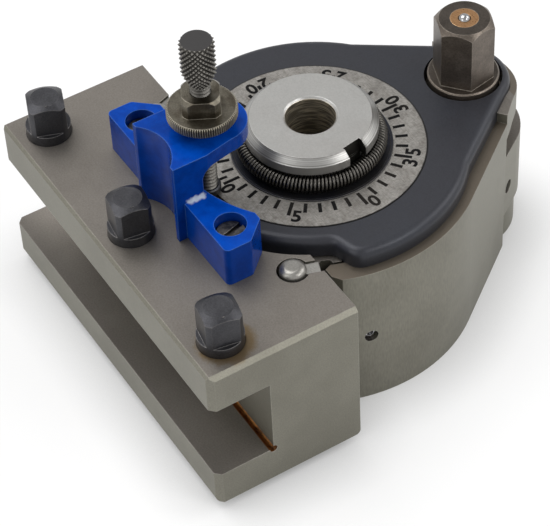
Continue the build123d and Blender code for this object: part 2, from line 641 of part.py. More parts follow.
def holder_block():
    """Outside of the tool holder, before anything is cut from it."""
    half = HOLDER_LENGTH / 2
    body = block(-half, half, -HOLDER_FRONT, -HOLDER_REAR, HOLDER_LIFT, HOLDER_TOP)
    body = chamfer(body.edges().filter_by(Axis.Z).sort_by(Axis.Y)[:2], CORNER_CHAMFER)
    ends = body.faces().sort_by(Axis.Z)[-1].edges().filter_by(Axis.Y).sort_by(Axis.X)
    body = chamfer([ends[0], ends[-1]], END_CHAMFER)
    top_front = body.edges().filter_by(Axis.X).sort_by(lambda e: e.center().Y - e.center().Z)[0]
    body = chamfer(top_front, EDGE_CHAMFER)
    low_rear = body.edges().filter_by(Axis.X).sort_by(lambda e: e.center().Z - e.center().Y)[0]
    low_front = body.edges().filter_by(Axis.X).sort_by(lambda e: e.center().Z + e.center().Y)[0]
    return fillet([low_rear, low_front], FOOT_RADIUS)


def tool_holder():
    body = holder_block()
    inner = SLOT_DEPTH - HOLDER_FRONT
    body -= block(-BIG, BIG, -BIG, inner, SLOT_BASE, SLOT_TOP)
    body -= Pos(-BIG / 2, inner, SLOT_BASE) * Rot(0, 90, 0) * extrude(Circle(SLOT_RELIEF), BIG)
    for x, y in clamp_screw_places():
        body -= disc(CLAMP_SCREW_RADIUS + FIT, SLOT_TOP - CUT, BIG, x, y)
    shift = Pos(0, -CLAMP_STROKE, 0)
    body -= shift * disc(TOOTH_TIP_RADIUS + HOLDER_RECESS_RUN, -CUT, BIG)
    inside = block(-BIG, BIG, inner + CUT, -HOLDER_REAR, HOLDER_LIFT, HOLDER_TOP)
    for tooth in holder_teeth(TOOTH_CLEARANCE):
        body += (shift * tooth) & inside
    for room in both_sides(socket()):
        body -= room
    for x, y in ear_bolt_places():
        body -= disc(EAR_BOLT_RADIUS, HOLDER_TOP - EAR_BOLT_GRIP, BIG, x, y)
    return body


def squared_bar(square, radius, low, high):
    """Round bar with four flats."""
    return disc(radius, low, high) & block(-square / 2, square / 2, -square / 2, square / 2, low, high)


def clamp_screw(x, y):
    collar = HOLDER_TOP + CLAMP_SCREW_COLLAR
    top = collar + CLAMP_SCREW_HEAD
    screw = disc(CLAMP_SCREW_RADIUS, SLOT_TOP, collar)
    screw += disc(CLAMP_SCREW_POINT_RADIUS, SLOT_TOP - CLAMP_SCREW_POINT, SLOT_TOP)
    head = squared_bar(CLAMP_SCREW_SQUARE, CLAMP_SCREW_RADIUS, collar, top)
    drop = CLAMP_SCREW_RADIUS - CLAMP_SCREW_CROWN
    head &= turned([
        (0, 0), (CLAMP_SCREW_RADIUS, 0), (CLAMP_SCREW_RADIUS, top - drop), (CLAMP_SCREW_CROWN, top), (0, top),
    ])
    return Pos(x, y, 0) * (screw + head)


def ear_outline():
    """Plan of the bracket's base: a bar with sloped ends, hollowed to follow the head."""
    end = BRACKET_HALF_LENGTH
    front = -HOLDER_REAR - BRACKET_FRONT
    back = front + EAR_END_WIDTH
    right = [(end, front), (end, back), (end - EAR_END_SLOPE, back + EAR_END_RISE)]
    left = [(-x, y) for x, y in reversed(right)]
    return make_face(Polyline(*right, *left, close=True)) - Circle(TOOTH_TIP_RADIUS + EAR_RUN)


def column_front():
    return -HOLDER_REAR - BRACKET_FRONT - COLUMN_PROUD


def arm_outline():
    """Plan of the column and arm: a tapered tongue with a round end."""
    tip = ARM_TIP_WIDTH / 2
    centre = ARM_OVERHANG - HOLDER_REAR - tip
    half = COLUMN_WIDTH / 2
    right = [(half, column_front()), (half, column_front() + ARM_TAPER), (tip, centre)]
    left = [(-x, y) for x, y in reversed(right)]
    return make_face(Polyline(*right, *left, close=True)) + Pos(0, centre) * Circle(tip)


def ear_bolt_places():
    return [(side * EAR_BOLT_X, -HOLDER_REAR - EAR_BOLT_Y) for side in (-1, 1)]


def height_bracket():
    ears = upright(ear_outline(), HOLDER_TOP, HOLDER_TOP + EAR_HEIGHT)
    tongue = upright(arm_outline(), HOLDER_TOP, ARM_TOP)
    under = ARM_TOP - ARM_THICKNESS
    gap = block(-BIG, BIG, column_front() + COLUMN_DEPTH, BIG, HOLDER_TOP - CUT, under)
    corner = gap.edges().filter_by(Axis.X).sort_by(lambda e: e.center().Y - e.center().Z)[0]
    tongue -= fillet(corner, ARM_ROOT_FILLET)
    body = ears + tongue
    body -= disc(SCALLOP_RADIUS, 0, BIG, 0, CLAMP_SCREW_Y)
    ends = body.edges().filter_by(Axis.Z).filter_by(lambda e: abs(e.center().X) > BRACKET_HALF_LENGTH - FIT)
    body = fillet(ends, BRACKET_CORNER)
    body -= disc(ADJUSTER_RADIUS + FIT, under - CUT, BIG, y=ADJUSTER_PLACE)
    for x, y in ear_bolt_places():
        body -= disc(EAR_COUNTERBORE_RADIUS, HOLDER_TOP + EAR_COUNTERBORE_FLOOR, BIG, x, y)
        body -= disc(EAR_BOLT_RADIUS, 0, BIG, x, y)
    return body


def bracket_screw(x, y):
    seat = HOLDER_TOP + EAR_COUNTERBORE_FLOOR
    top = seat + EAR_BOLT_HEAD
    screw = disc(EAR_BOLT_RADIUS, HOLDER_TOP - EAR_BOLT_GRIP, seat) + disc(EAR_BOLT_HEAD_RADIUS, seat, top)
    half = EAR_BOLT_SLOT_WIDTH / 2
    slot = block(-BIG, BIG, -half, half, top - EAR_BOLT_SLOT_DEPTH, BIG)
    return Pos(x, y, 0) * (screw - Rot(0, 0, EAR_BOLT_SLOT_TURN) * slot)


def adjusting_screw():
    foot = DIAL_TOP + RUN
    neck = foot + ADJUSTER_FOOT_HEIGHT
    knob = ARM_TOP + KNOB_RISE
    wide = knob + KNOB_TAPER
    top = wide + KNOB_LENGTH
    screw = turned([
        (0, foot), (ADJUSTER_FOOT_RADIUS, foot), (ADJUSTER_FOOT_RADIUS, neck), (ADJUSTER_RADIUS, neck),
        (ADJUSTER_RADIUS, knob), (KNOB_RADIUS, wide), (KNOB_RADIUS, top - KNOB_CROWN),
        (KNOB_RADIUS - KNOB_CROWN, top), (0, top),
    ])
    return Pos(0, ADJUSTER_PLACE, 0) * screw


def lock_nut():
    low = ARM_TOP + LOCK_NUT_RISE
    flange_top = low + LOCK_NUT_FLANGE
    top = low + LOCK_NUT_HEIGHT
    nut = disc(LOCK_NUT_RADIUS, low, flange_top)
    head = squared_bar(LOCK_NUT_SQUARE, LOCK_NUT_ROUND, flange_top, top)
    crown = LOCK_NUT_ROUND - LOCK_NUT_CROWN
    head &= turned([(0, 0), (LOCK_NUT_ROUND, 0), (LOCK_NUT_ROUND, top - LOCK_NUT_CROWN), (crown, top), (0, top)])
    nut += head
    nut -= disc(ADJUSTER_RADIUS + FIT, 0, BIG)
    return Pos(0, ADJUSTER_PLACE, 0) * Rot(0, 0, LOCK_NUT_TURN) * nut


def save(name, shapes):
    solids = shapes if isinstance(shapes, list) else [shapes]
    parts = [solid for shape in solids for solid in shape.solids()]
    export_step(parts[0] if len(parts) == 1 else Compound(children=parts), f"parts/{name}.step")


def main():
    os.makedirs("parts", exist_ok=True)
    save("core", core())
    save("centre_sleeve", centre_sleeve())
    save("sleeve_nut", sleeve_nut())
    save("garter_spring", garter_spring())
    save("thrust_shoe", thrust_shoe())
    save("clamp_ring", clamp_ring())
    save("cover_plate", cover_plate())
    save("cover_pins", cover_pins())
    save("dial_ring", dial_ring())
    save("wear_ring", wear_ring())
    right, left = both_sides(claw())
    save("claw_right", right)
    save("claw_left", left)
    save("claw_screws", both_sides(claw_screw()))
    save("upper_bush", upper_bush())
    save("lower_bush", lower_bush())
    save("cross_pin", cross_pin(CROSS_PIN_SINK))
    save("clamping_shaft", clamping_shaft())
    save("catch_sleeve", catch_sleeve())
    save("catch_spring", catch_spring())
    save("catch_ball", catch_ball())
    save("tool_holder", tool_holder())
    for number, (x, y) in enumerate(clamp_screw_places(), 1):
        save(f"clamp_screw_{number}", clamp_screw(x, y))
    save("height_bracket", height_bracket())
    save("bracket_screws", [bracket_screw(x, y) for x, y in ear_bolt_places()])
    save("adjusting_screw", adjusting_screw())
    save("lock_nut", lock_nut())


main()
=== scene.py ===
import json
from functools import cache, partialmethod
from math import cos, pi, radians, sin
from types import SimpleNamespace

import bmesh
import bpy
from bpy.props import FloatProperty, FloatVectorProperty, IntProperty, PointerProperty
from bpy.types import Operator, Panel, PropertyGroup, Scene
from mathutils import Matrix, Vector

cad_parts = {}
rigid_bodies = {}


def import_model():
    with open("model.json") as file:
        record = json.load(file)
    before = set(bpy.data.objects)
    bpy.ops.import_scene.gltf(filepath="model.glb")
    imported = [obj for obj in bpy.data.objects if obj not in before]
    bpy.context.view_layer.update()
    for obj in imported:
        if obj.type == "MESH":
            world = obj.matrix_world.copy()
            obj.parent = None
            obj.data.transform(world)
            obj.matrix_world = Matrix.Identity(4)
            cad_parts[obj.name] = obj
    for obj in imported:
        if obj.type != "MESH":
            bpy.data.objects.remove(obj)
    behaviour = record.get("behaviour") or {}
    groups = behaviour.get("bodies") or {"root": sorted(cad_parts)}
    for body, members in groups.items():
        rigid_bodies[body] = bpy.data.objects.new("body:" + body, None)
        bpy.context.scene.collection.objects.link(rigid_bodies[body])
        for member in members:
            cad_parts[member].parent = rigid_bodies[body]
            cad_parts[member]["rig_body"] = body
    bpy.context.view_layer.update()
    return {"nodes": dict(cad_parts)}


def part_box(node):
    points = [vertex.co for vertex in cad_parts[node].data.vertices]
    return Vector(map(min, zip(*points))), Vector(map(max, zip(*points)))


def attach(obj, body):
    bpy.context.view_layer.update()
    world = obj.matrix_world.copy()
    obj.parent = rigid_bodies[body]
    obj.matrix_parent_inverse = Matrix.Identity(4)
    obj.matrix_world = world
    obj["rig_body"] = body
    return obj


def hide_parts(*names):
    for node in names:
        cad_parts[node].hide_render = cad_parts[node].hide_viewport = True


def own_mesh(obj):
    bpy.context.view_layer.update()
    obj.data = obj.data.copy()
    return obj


bl_info = {
    "name": "Quick-change tool post",
    "version": (1, 0, 0),
    "blender": (4, 5, 0),
    "location": "3D View > Sidebar > Tool post",
    "description": "Dresses the toothed tool post head and its square-shank tool holder",
    "category": "Object",
}

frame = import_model()
MM = 0.001

# Each lamp's place and side in metres, and its power in watts.
LAMPS = {
    "Key": ((-0.55, -0.35, 1.25), 1.1, 13.0),
    "Fill": ((0.25, -1.15, 0.6), 0.8, 3.2),
    "Rim": ((0.3, 1.0, 0.8), 0.7, 4.0),
    "Strip": ((0.95, 0.44, 0.80), 0.45, 3.7),
}
FLOOR_REACH = 3.0
SENSOR_WIDTH = 36.0
SOCKETS = {int: "NodeSocketInt", float: "NodeSocketFloat", tuple: "NodeSocketVector",
           type(None): "NodeSocketMaterial"}
ORIGIN = (0.0, 0.0, 0.0)
MERGED = 1e-7


def centre(node):
    """Middle of a solid's box."""
    low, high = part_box(node)
    return (low + high) / 2


def top(node):
    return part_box(node)[1].z


def axis_of(node):
    """Plan point of a turned solid's own axis, at height 0."""
    middle = centre(node)
    return Vector((middle.x, middle.y, 0.0))


def mm(label, about, value):
    return FloatProperty(name=label, description=about, default=value * MM, unit="LENGTH", precision=5)


def angle(label, about, degrees):
    return FloatProperty(name=label, description=about, default=radians(degrees), subtype="ANGLE")


def count(label, about, value, least=1):
    return IntProperty(name=label, description=about, default=value, min=least)


def colour(label, about, *value):
    return FloatVectorProperty(name=label, description=about, default=value, subtype="COLOR", size=3,
                               min=0.0, max=1.0)


def share(label, about, value):
    return FloatProperty(name=label, description=about, default=value, min=0.0, max=1.0, subtype="FACTOR")


def chosen(group):
    """The sizes or colours as they are set in the panel."""
    return getattr(bpy.context.scene, "toolpost_" + group)


def tint_of(value):
    """A colour, given as numbers or by its name in the panel."""
    return getattr(chosen("finishes"), value) if isinstance(value, str) else value


class Finishes(PropertyGroup):
    """Colours of the post's metals, paint and stains."""

    ground: colour("Ground steel", "Block and pear-shaped ring", 0.202, 0.194, 0.159)
    ground_dark: colour("Ground steel, dark", "Darker clouds in it", 0.180, 0.172, 0.140)
    ground_edge: colour("Ground edge", "Where it is freshly rubbed", 0.38, 0.365, 0.32)
    # Painted shade: colour of the faces that look up, darker than the sides.
    ground_up: colour("Ground top", "Warmer grey of the faces that look up", 0.182, 0.166, 0.147)
    ring_top: colour("Ring top", "Oily brown of the strip beside the cover", 0.135, 0.112, 0.085)
    turned: colour("Turned steel", "Collar of the centre sleeve", 0.425, 0.42, 0.405)
    bore: colour("Bore", "Oily brown of the sleeve's bore", 0.80, 0.72, 0.58)
    dial: colour("Dial", "Brushed face of the dial", 0.32, 0.307, 0.285)
    dial_stain: colour("Dial stain", "Brownish clouds on the dial", 0.165, 0.147, 0.13)
    cover: colour("Cover", "Blue-black satin of the cover plate", 0.030, 0.031, 0.038)
    cover_edge: colour("Cover edge", "Rubbed edge of the cover plate", 0.13, 0.135, 0.15)
    oxide: colour("Black oxide", "Blackened clamp screws", 0.054, 0.054, 0.059)
    shaft: colour("Shaft oxide", "Brown oxide of the hexagon", 0.148, 0.124, 0.103)
    oxide_worn: colour("Worn oxide", "Steel that shows on rubbed corners", 0.36, 0.34, 0.32)
    bronze_oxide: colour("Nut oxide", "Olive-brown oxide of the lock nut", 0.150, 0.137, 0.110)
    enamel: colour("Blue enamel", "Gloss paint of the height bracket", 0.0005, 0.058, 0.40)
    # Partly worn paint and partly painted highlight on the bracket's edges.
    enamel_edge: colour("Enamel edge", "Thin paint on the bracket's edges", 0.12, 0.32, 0.80)
    # Painted highlight on the fillet beside the near ear.
    chip: colour("Chip", "Pale patch beside the near ear", 0.62, 0.68, 0.76)
    spring: colour("Spring steel", "Oiled wire of the springs", 0.105, 0.099, 0.090)
    brass: colour("Brass", "Catch sleeve and bushes", 0.40, 0.225, 0.11)
    chrome: colour("Chrome", "Catch ball", 0.36, 0.36, 0.365)
    rust: colour("Rust", "Line in the slot's groove", 0.30, 0.125, 0.03)
    halo: colour("Halo", "Stain at the foot of the near screw", 0.135, 0.088, 0.035)
    # Black of the dial's marks, also used for the painted shadow line round the dial's rim.
    paint_black: colour("Mark black", "Fill of the dial's marks", 0.006, 0.006, 0.0065)


class DialSizes(PropertyGroup):
    """Marks engraved in the dial."""

    count: count("Graduations", "Positions of the head in one turn", 40, least=4)
    every: count("Numbered", "Graduations from one number to the next", 5)
    inner: mm("Inner radius", "Where each mark starts", 18.25)
    short: mm("Short radius", "Where a short mark ends", 20.95)
    long: mm("Long radius", "Where a numbered mark ends", 22.15)
    width: mm("Width", "Width of a mark", 0.80)
    proud: mm("Fill", "Fill's height over the dial's face", 0.015)
    sunk: mm("Depth", "Depth of a mark", 0.12)
    digit_radius: mm("Digit radius", "Middle of the digits", 22.3)
    digit_size: mm("Digit size", "Height of the type", 4.5)
    digit_bold: mm("Digit weight", "Widening of the digits' strokes", 0.14)


class SleeveSizes(PropertyGroup):
    """Centre sleeve, read again from the photograph, and the garter spring round it."""

    turns: count("Turns", "Turns of wire round the spring's ring", 122, least=12)
    wire: mm("Wire", "Diameter of the wire", 0.62)
    fuller: mm("Fuller", "Coil's radius over the plain ring's", 0.16)
    bore: mm("Bore", "Radius of the bore", 5.5)
    rim: mm("Bore rim", "Radius of the bore's chamfer at the top", 6.0)
    rim_depth: mm("Rim depth", "Further depth of the bore's chamfer", 0.1)
    lift: mm("Collar lift", "Collar's top over the plain solid's", 0.5)
    under_lift: mm("Underside lift", "Collar's underside over the plain solid's", 0.3)
    notch: mm("Notch", "Half the width of the notch", 2.3)
    notch_shift: mm("Notch shift", "Middle of the notch beside the plain solid's", 0.5)
    notch_turn: angle("Notch turn", "Bearing of the notch", 9.5)


class ScrewSizes(PropertyGroup):
    """Adjusting screw, its lock nut, the bracket's screws, and the block's edges and clamp screws."""

    edge_share: share("Edge share", "Block's ground edges as a share of the plain solid's", 0.66)
    edge_band: mm("Edge band", "Strip along each side that the ground edges lie in", 2.02)
    knob: mm("Knob radius", "Outside of the knurl", 3.78)
    knob_length: mm("Knob length", "Knurled part with its taper", 11.7)
    knob_neck: mm("Neck radius", "Lower end of the knob's taper", 2.25)
    knob_slope: share("Knob taper", "Gain of radius along the knob's lower end", 0.42)
    knob_cap: mm("Cap radius", "Flat on the knob's top", 3.25)
    knurl_starts: count("Knurl starts", "Grooves each way round the knob", 20)
    knurl_rise: mm("Knurl rise", "Height from one diamond to the next", 1.22)
    knurl_depth: mm("Knurl depth", "Depth of the knurl", 0.48)
    thread: mm("Thread radius", "Outside of the screw's thread", 2.2)
    thread_pitch: mm("Thread pitch", "Rise in one turn", 0.95)
    thread_depth: mm("Thread depth", "Depth of the thread", 0.5)
    foot: mm("Foot radius", "Outside of the screw's foot", 2.8)
    foot_height: mm("Foot height", "Length of the screw's foot", 2.1)
    flange_ribs: count("Flange ribs", "Ribs round the nut's flange", 92)
    rib_depth: mm("Rib depth", "Depth of the grooves between the ribs", 0.4)
    crown: mm("Crown", "Radius of the flat on a clamp screw's head", 3.1)
    crown_slope: share("Crown slope", "Fall of the crown's rim", 0.58)
    sinking: mm("Head sinking", "Clamp screw heads' tops below the plain solids'", 0.2)
    slot_turn: angle("Slot turn", "Turn of the bracket screws' slots", 46)
    head_lift: mm("Head lift", "Rise of the bracket screws' heads in their holes", 1.8)
    collar: mm("Collar rise", "Clamp screw collars' tops above the plain solids'", 0.5)
    turns: FloatVectorProperty(name="Turns", description="How far each clamp screw is turned", size=3,
                               default=(radians(-21), radians(-9), radians(-10)), subtype="EULER")


class StageSizes(PropertyGroup):
    """Camera of the photograph, and the studio's floor."""

    azimuth: angle("Azimuth", "Camera's turn round the head", 60.685)
    elevation: angle("Elevation", "Camera's height angle", 46.69)
    roll: angle("Roll", "Camera's tilt about its own axis", -3.27)
    place: FloatVectorProperty(name="Camera place", description="Where the camera stands", size=3,
                               default=(0.32937, -0.19566, 0.41287), subtype="TRANSLATION", unit="LENGTH")
    lens: FloatProperty(name="Lens", description="Focal length on a 36 mm wide sensor, in millimetres",
                        default=160.8, min=1.0)
    floor: colour("Floor", "Pale floor", 0.72, 0.72, 0.72)
    floor_glow: share("Floor glow", "White of the floor itself, beside the light on it", 0.42)
    # Reach of the painted contact shadow on the floor.
    contact: mm("Contact", "Reach of the dark line where the post meets the floor", 14.0)


class Field:
    """A node's output, whose arithmetic adds nodes."""

    def __init__(self, tree, socket):
        self.tree = tree
        self.socket = socket

    def join(self, operation, *others, turned=False):
        """Math node of the values, Vector Math where one is a vector or a colour."""
        values = (*others, self) if turned else (self, *others)
        wide = any(value.socket.type in ("VECTOR", "RGBA") if isinstance(value, Field)
                   else not isinstance(value, (int, float)) for value in values)
        return (self.tree.vector if wide else self.tree.math)(operation, *values)

    __add__ = partialmethod(join, "ADD")
    __sub__ = partialmethod(join, "SUBTRACT")
    __rsub__ = partialmethod(join, "SUBTRACT", turned=True)
    __mul__ = partialmethod(join, "MULTIPLY")
    __truediv__ = partialmethod(join, "DIVIDE")
    __rtruediv__ = partialmethod(join, "DIVIDE", turned=True)
    __lt__ = partialmethod(join, "LESS_THAN")
    __gt__ = partialmethod(join, "GREATER_THAN")
    __abs__ = partialmethod(join, "ABSOLUTE")

    def scaled(self, gain, offset):
        return self.tree.math("MULTIPLY_ADD", self, gain, offset)

    def clamped(self):
        """The value, held between 0 and 1 in its own node."""
        self.socket.node.use_clamp = True
        return self

    def span(self, low, high, kind="SMOOTHSTEP"):
        """0 below low and 1 above high."""
        return self.tree.add("ShaderNodeMapRange", {"Value": self, "From Min": low, "From Max": high},
                             "Result", interpolation_type=kind)

    def band(self, low, high, feather):
        """1 between two values, with soft sides."""
        return (self.span(low - feather, low) - self.span(high, high + feather)).clamped()


class Tree:
    """Adds nodes to one node tree and joins them."""

    def __init__(self, tree):
        self.tree = tree

    def node(self, kind, inputs=(), **settings):
        node = self.tree.nodes.new(kind)
        for name, value in settings.items():
            setattr(node, name, value)
        pairs = inputs.items() if isinstance(inputs, dict) else enumerate(inputs)
        for key, value in pairs:
            self.feed(node.inputs[key], value)
        return node

    def add(self, kind, inputs=(), output=0, **settings):
        """One output of a new node."""
        return Field(self, self.node(kind, inputs, **settings).outputs[output])

    def feed(self, socket, value):
        if isinstance(value, Field):
            self.tree.links.new(value.socket, socket)
        else:
            socket.default_value = value

    def math(self, operation, *values):
        return self.add("ShaderNodeMath", values, operation=operation)

    def vector(self, operation, *values):
        output = "Value" if operation in ("DOT_PRODUCT", "LENGTH") else "Vector"
        return self.add("ShaderNodeVectorMath", values, output, operation=operation)

    def mix(self, factor, first, second):
        """Blend of two colours."""
        node = self.node("ShaderNodeMix", {"Factor": factor}, data_type="RGBA")
        for place, value in ((6, first), (7, second)):
            self.feed(node.inputs[place], value if isinstance(value, Field) else (*tint_of(value), 1.0))
        return Field(self, node.outputs[2])

    def noise(self, place, scale, detail, **more):
        return self.add("ShaderNodeTexNoise", {"Vector": place, "Scale": scale, "Detail": detail, **more})

    def place(self):
        return self.add("ShaderNodeTexCoord", output="Object")

    def normal(self):
        return self.add("ShaderNodeNewGeometry", output="Normal")

    def xyz(self, vector):
        outputs = self.node("ShaderNodeSeparateXYZ", [vector]).outputs
        return [Field(self, socket) for socket in outputs]

    def radius(self, axis=ORIGIN):
        """Distance from an upright axis."""
        return self.vector("LENGTH", (self.place() - axis) * (1.0, 1.0, 0.0))

    def level(self, low=0.8, high=0.95):
        """1 where the face looks up."""
        return self.xyz(self.normal())[2].span(low, high)

    def effect(self, name, **inputs):
        """Mask or value of a shared shader group."""
        return self.add("ShaderNodeGroup", labelled(inputs), node_tree=shader_group(name))

    def polar(self, reach, turn, height):
        """Point at a distance, bearing and height."""
        sides = [reach * self.math(side, turn) for side in ("COSINE", "SINE")]
        return self.add("ShaderNodeCombineXYZ", [*sides, height])

    def close(self, value):
        """Feeds a group's output and gives the group."""
        self.feed(self.out, value)
        return self.tree

    def moved(self, geometry, place):
        return self.add("GeometryNodeSetPosition", {"Geometry": geometry, "Position": place})


def labelled(values):
    """Values by socket label: low_radius is for Low radius."""
    return {key.replace("_", " ").capitalize(): value for key, value in values.items()}


def shared(name, output, kinds=("ShaderNodeTree", "NodeSocketFloat"), **inputs):
    """New node group with named inputs and one output: its tree and its inputs."""
    group = bpy.data.node_groups.new(name, kinds[0])
    for label, value in labelled(inputs).items():
        socket = group.interface.new_socket(label, in_out="INPUT", socket_type=SOCKETS[type(value)])
        if value is not None:
            socket.default_value = value
    group.interface.new_socket(output, in_out="OUTPUT", socket_type=kinds[1])
    tree = Tree(group)
    outputs = tree.node("NodeGroupInput").outputs
    given = SimpleNamespace(**{key: Field(tree, socket) for key, socket in zip(inputs, outputs)})
    tree.out = tree.node("NodeGroupOutput").inputs[0]
    return tree, given


def grain_group():
    """Fine directional scratches: noise drawn out along one direction."""
    tree, given = shared("Grain", "Value", fineness=(4000.0, 4000.0, 4000.0), detail=2.0)
    return tree.close(tree.noise(tree.place() * given.fineness, 1.0, given.detail))


def rings_group():
    """Turning marks about an upright axis."""
    tree, given = shared("Turning marks", "Value", axis=ORIGIN, fineness=5000.0)
    steps = tree.radius(given.axis) * given.fineness
    noise = tree.add("ShaderNodeTexNoise", {"W": steps, "Scale": 1.0, "Detail": 1.0}, noise_dimensions="1D")
    return tree.close(noise)


def cloud_group():
    """Soft clouds from 0 to 1."""
    tree, given = shared("Clouds", "Mask", size=0.01, low=0.4, high=0.65)
    noise = tree.noise(tree.place(), 1.0 / given.size, 4.0, Roughness=0.6)
    return tree.close(noise.span(given.low, given.high))


def wear_group():
    """Mask of the edges, broken up by noise."""
    tree, given = shared("Edge wear", "Mask", width=0.0003, strength=3.0, breaks=0.5)
    rounded = tree.add("ShaderNodeBevel", {"Radius": given.width}, samples=8)
    turn = 1.0 - tree.vector("DOT_PRODUCT", rounded, tree.normal())
    keep = 1.0 - tree.noise(tree.place(), 900.0, 2.0) * given.breaks
    return tree.close((turn * given.strength * keep).clamped())


def stain_group():
    """Mask of a stain: 1 near a point, 0 past its radius, with a ragged rim."""
    tree, given = shared("Stain", "Mask", middle=ORIGIN, radius=0.005, inside=0.0, ragged=0.003)
    ragged = (tree.noise(tree.place(), 700.0, 4.0) - 0.5) * given.ragged
    away = tree.vector("LENGTH", tree.place() - given.middle) + ragged
    return tree.close(1.0 - away.span(given.inside, given.radius))


def shader_group(name):
    """The shared effect of that name, built the first time it is asked for."""
    makers = {"Grain": grain_group, "Turning marks": rings_group, "Clouds": cloud_group,
              "Edge wear": wear_group, "Stain": stain_group}
    return bpy.data.node_groups.get(name) or makers[name]()


class Coat(Tree):
    """A material's tree, with the colour that goes to its shader."""

    def __init__(self, name):
        self.material = bpy.data.materials.new(name)
        self.material.use_nodes = True
        super().__init__(self.material.node_tree)
        self.shader = self.tree.nodes["Principled BSDF"]

    def give(self, inputs):
        """Feeds inputs of the shader."""
        for label, value in inputs.items():
            self.feed(self.shader.inputs[label], value)

    def lay(self, mask, tint):
        """Lays a colour over the others where the mask is 1."""
        self.tint = self.mix(mask, self.tint, tint)

    def shade(self, gain):
        self.tint = self.tint * gain

    def done(self):
        """The material, with its colour joined to the shader."""
        self.give({"Base Color": self.tint})
        return self.material


def metal(name, body, cloud, edge, rough, fineness=(2800.0, 2800.0, 2800.0), speckle=0.3,
          cloud_size=16.0, wear=0.7, wear_width=0.3, soft=0.2, metallic=1.0, specular=0.5, bump=0.06,
          rings=None, ring_bump=0.0, crest=False):
    """Coat of metal or paint with grain, clouds and rubbed edges. Its lengths are in millimetres."""
    coat = Coat(name)
    grain = coat.effect("Grain", fineness=fineness)
    coat.tint = coat.mix(coat.effect("Clouds", size=cloud_size * MM), body, cloud)
    if crest:
        high = coat.add("ShaderNodeAttribute", output="Fac", attribute_name="crest")
        # Painted shade in the grooves: darker where the crest is low; the crests get the rubbed edge colour.
        coat.shade(high.span(-0.2, 0.5))
        coat.lay(high.span(0.45, 0.9), edge)
    coat.lay(coat.effect("Edge wear", width=wear_width * MM, strength=3.2 * wear), edge)
    coat.shade(grain.scaled(2 * speckle, 1 - speckle))
    height = grain * bump
    if rings is not None:
        height = height + coat.effect("Turning marks", axis=rings) * ring_bump
    rounded = coat.add("ShaderNodeBevel", {"Radius": soft * MM}, samples=6)
    relief = coat.add("ShaderNodeBump", {"Distance": 0.06 * MM, "Height": height, "Normal": rounded})
    coat.give({"Normal": relief, "Roughness": grain.scaled(0.16, rough - 0.08), "Metallic": metallic,
               "Specular IOR Level": specular})
    return coat


def ground_steel(name, **settings):
    """Coat of satin ground steel, with painted shade that makes the faces that look up darker than the sides.
    """
    values = {"metallic": 0.72, "wear": 0.8, "wear_width": 0.4, **settings}
    coat = metal(name, "ground", "ground_dark", "ground_edge", 0.46, **values)
    # Painted shade: faces that look up take a darker colour than the sides.
    top_shade_ratio = tuple(up / side for up, side in zip(tint_of("ground_up"), tint_of("ground")))
    coat.lay(coat.level(), coat.tint * top_shade_ratio)
    return coat


def block_steel():
    """Ground steel of the tool block, with a rusty line in the slot, a stain at the near screw, and painted
    light and shade on the slot's seat.
    """
    slot_middle, groove_depth, soft = 20.0 * MM, 13.9 * MM, 0.3 * MM
    coat = ground_steel("Block steel")
    low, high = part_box("tool_holder")
    foot = axis_of("clamp_screw_3") + Vector((0.9 * MM, 0.5 * MM, high.z))
    stain = coat.effect("Stain", middle=foot, radius=7.0 * MM, inside=5.2 * MM, ragged=2.2 * MM)
    coat.lay(stain * 0.8, "halo")
    x, y, z = coat.xyz(coat.place())
    # Painted light and shade on the seat: darker towards the slot's mouth, lighter towards its back.
    seat_painted_light = coat.level() * (z < slot_middle)
    gain = y.span(low.y - 2.0 * MM, low.y + 9.0 * MM).scaled(0.68, -0.3)
    coat.shade(seat_painted_light.scaled(gain, 1.0))
    groove = low.y + groove_depth
    line = y.band(groove - 0.9 * MM, groove + 1.0 * MM, soft) * z.band(10.4 * MM, 12.3 * MM, soft)
    line = line * (abs(x) < high.x - 0.1 * MM)
    coat.lay(line, (0.09, 0.035, 0.012))
    coat.lay(line * coat.effect("Clouds", size=0.002, low=0.3, high=0.6), "rust")
    return coat.done()


def ring_steel():
    """Ground steel of the pear-shaped ring: oily brown on top, with painted shade in its small holes."""
    coat = ground_steel("Ring steel", fineness=(2600.0, 2600.0, 700.0))
    height = coat.xyz(coat.place())[2]
    face = coat.level() * height.span(37.5 * MM, 38.5 * MM) * (height < top("clamp_ring") - 0.5 * MM)
    coat.lay(face * 0.85, "ring_top")
    for node in ("claw_screws", "cross_pin"):
        low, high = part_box(node)
        middle = centre(node)
        middle.x = high.x
        if node == "claw_screws":
            middle.y = low.y
        # Painted shade inside the hole: faces near it that do not look outwards are darkened.
        hole_painted_shade = coat.effect("Stain", middle=middle, radius=2.3 * MM, inside=2.0 * MM, ragged=0.2 * MM)
        outward = Vector((middle.x, middle.y, 0.0)).normalized()
        sideways = coat.vector("DOT_PRODUCT", coat.normal(), outward)
        coat.lay(hole_painted_shade * (1.0 - sideways.span(0.55, 0.8)), (0.025, 0.020, 0.016))
    return coat.done()


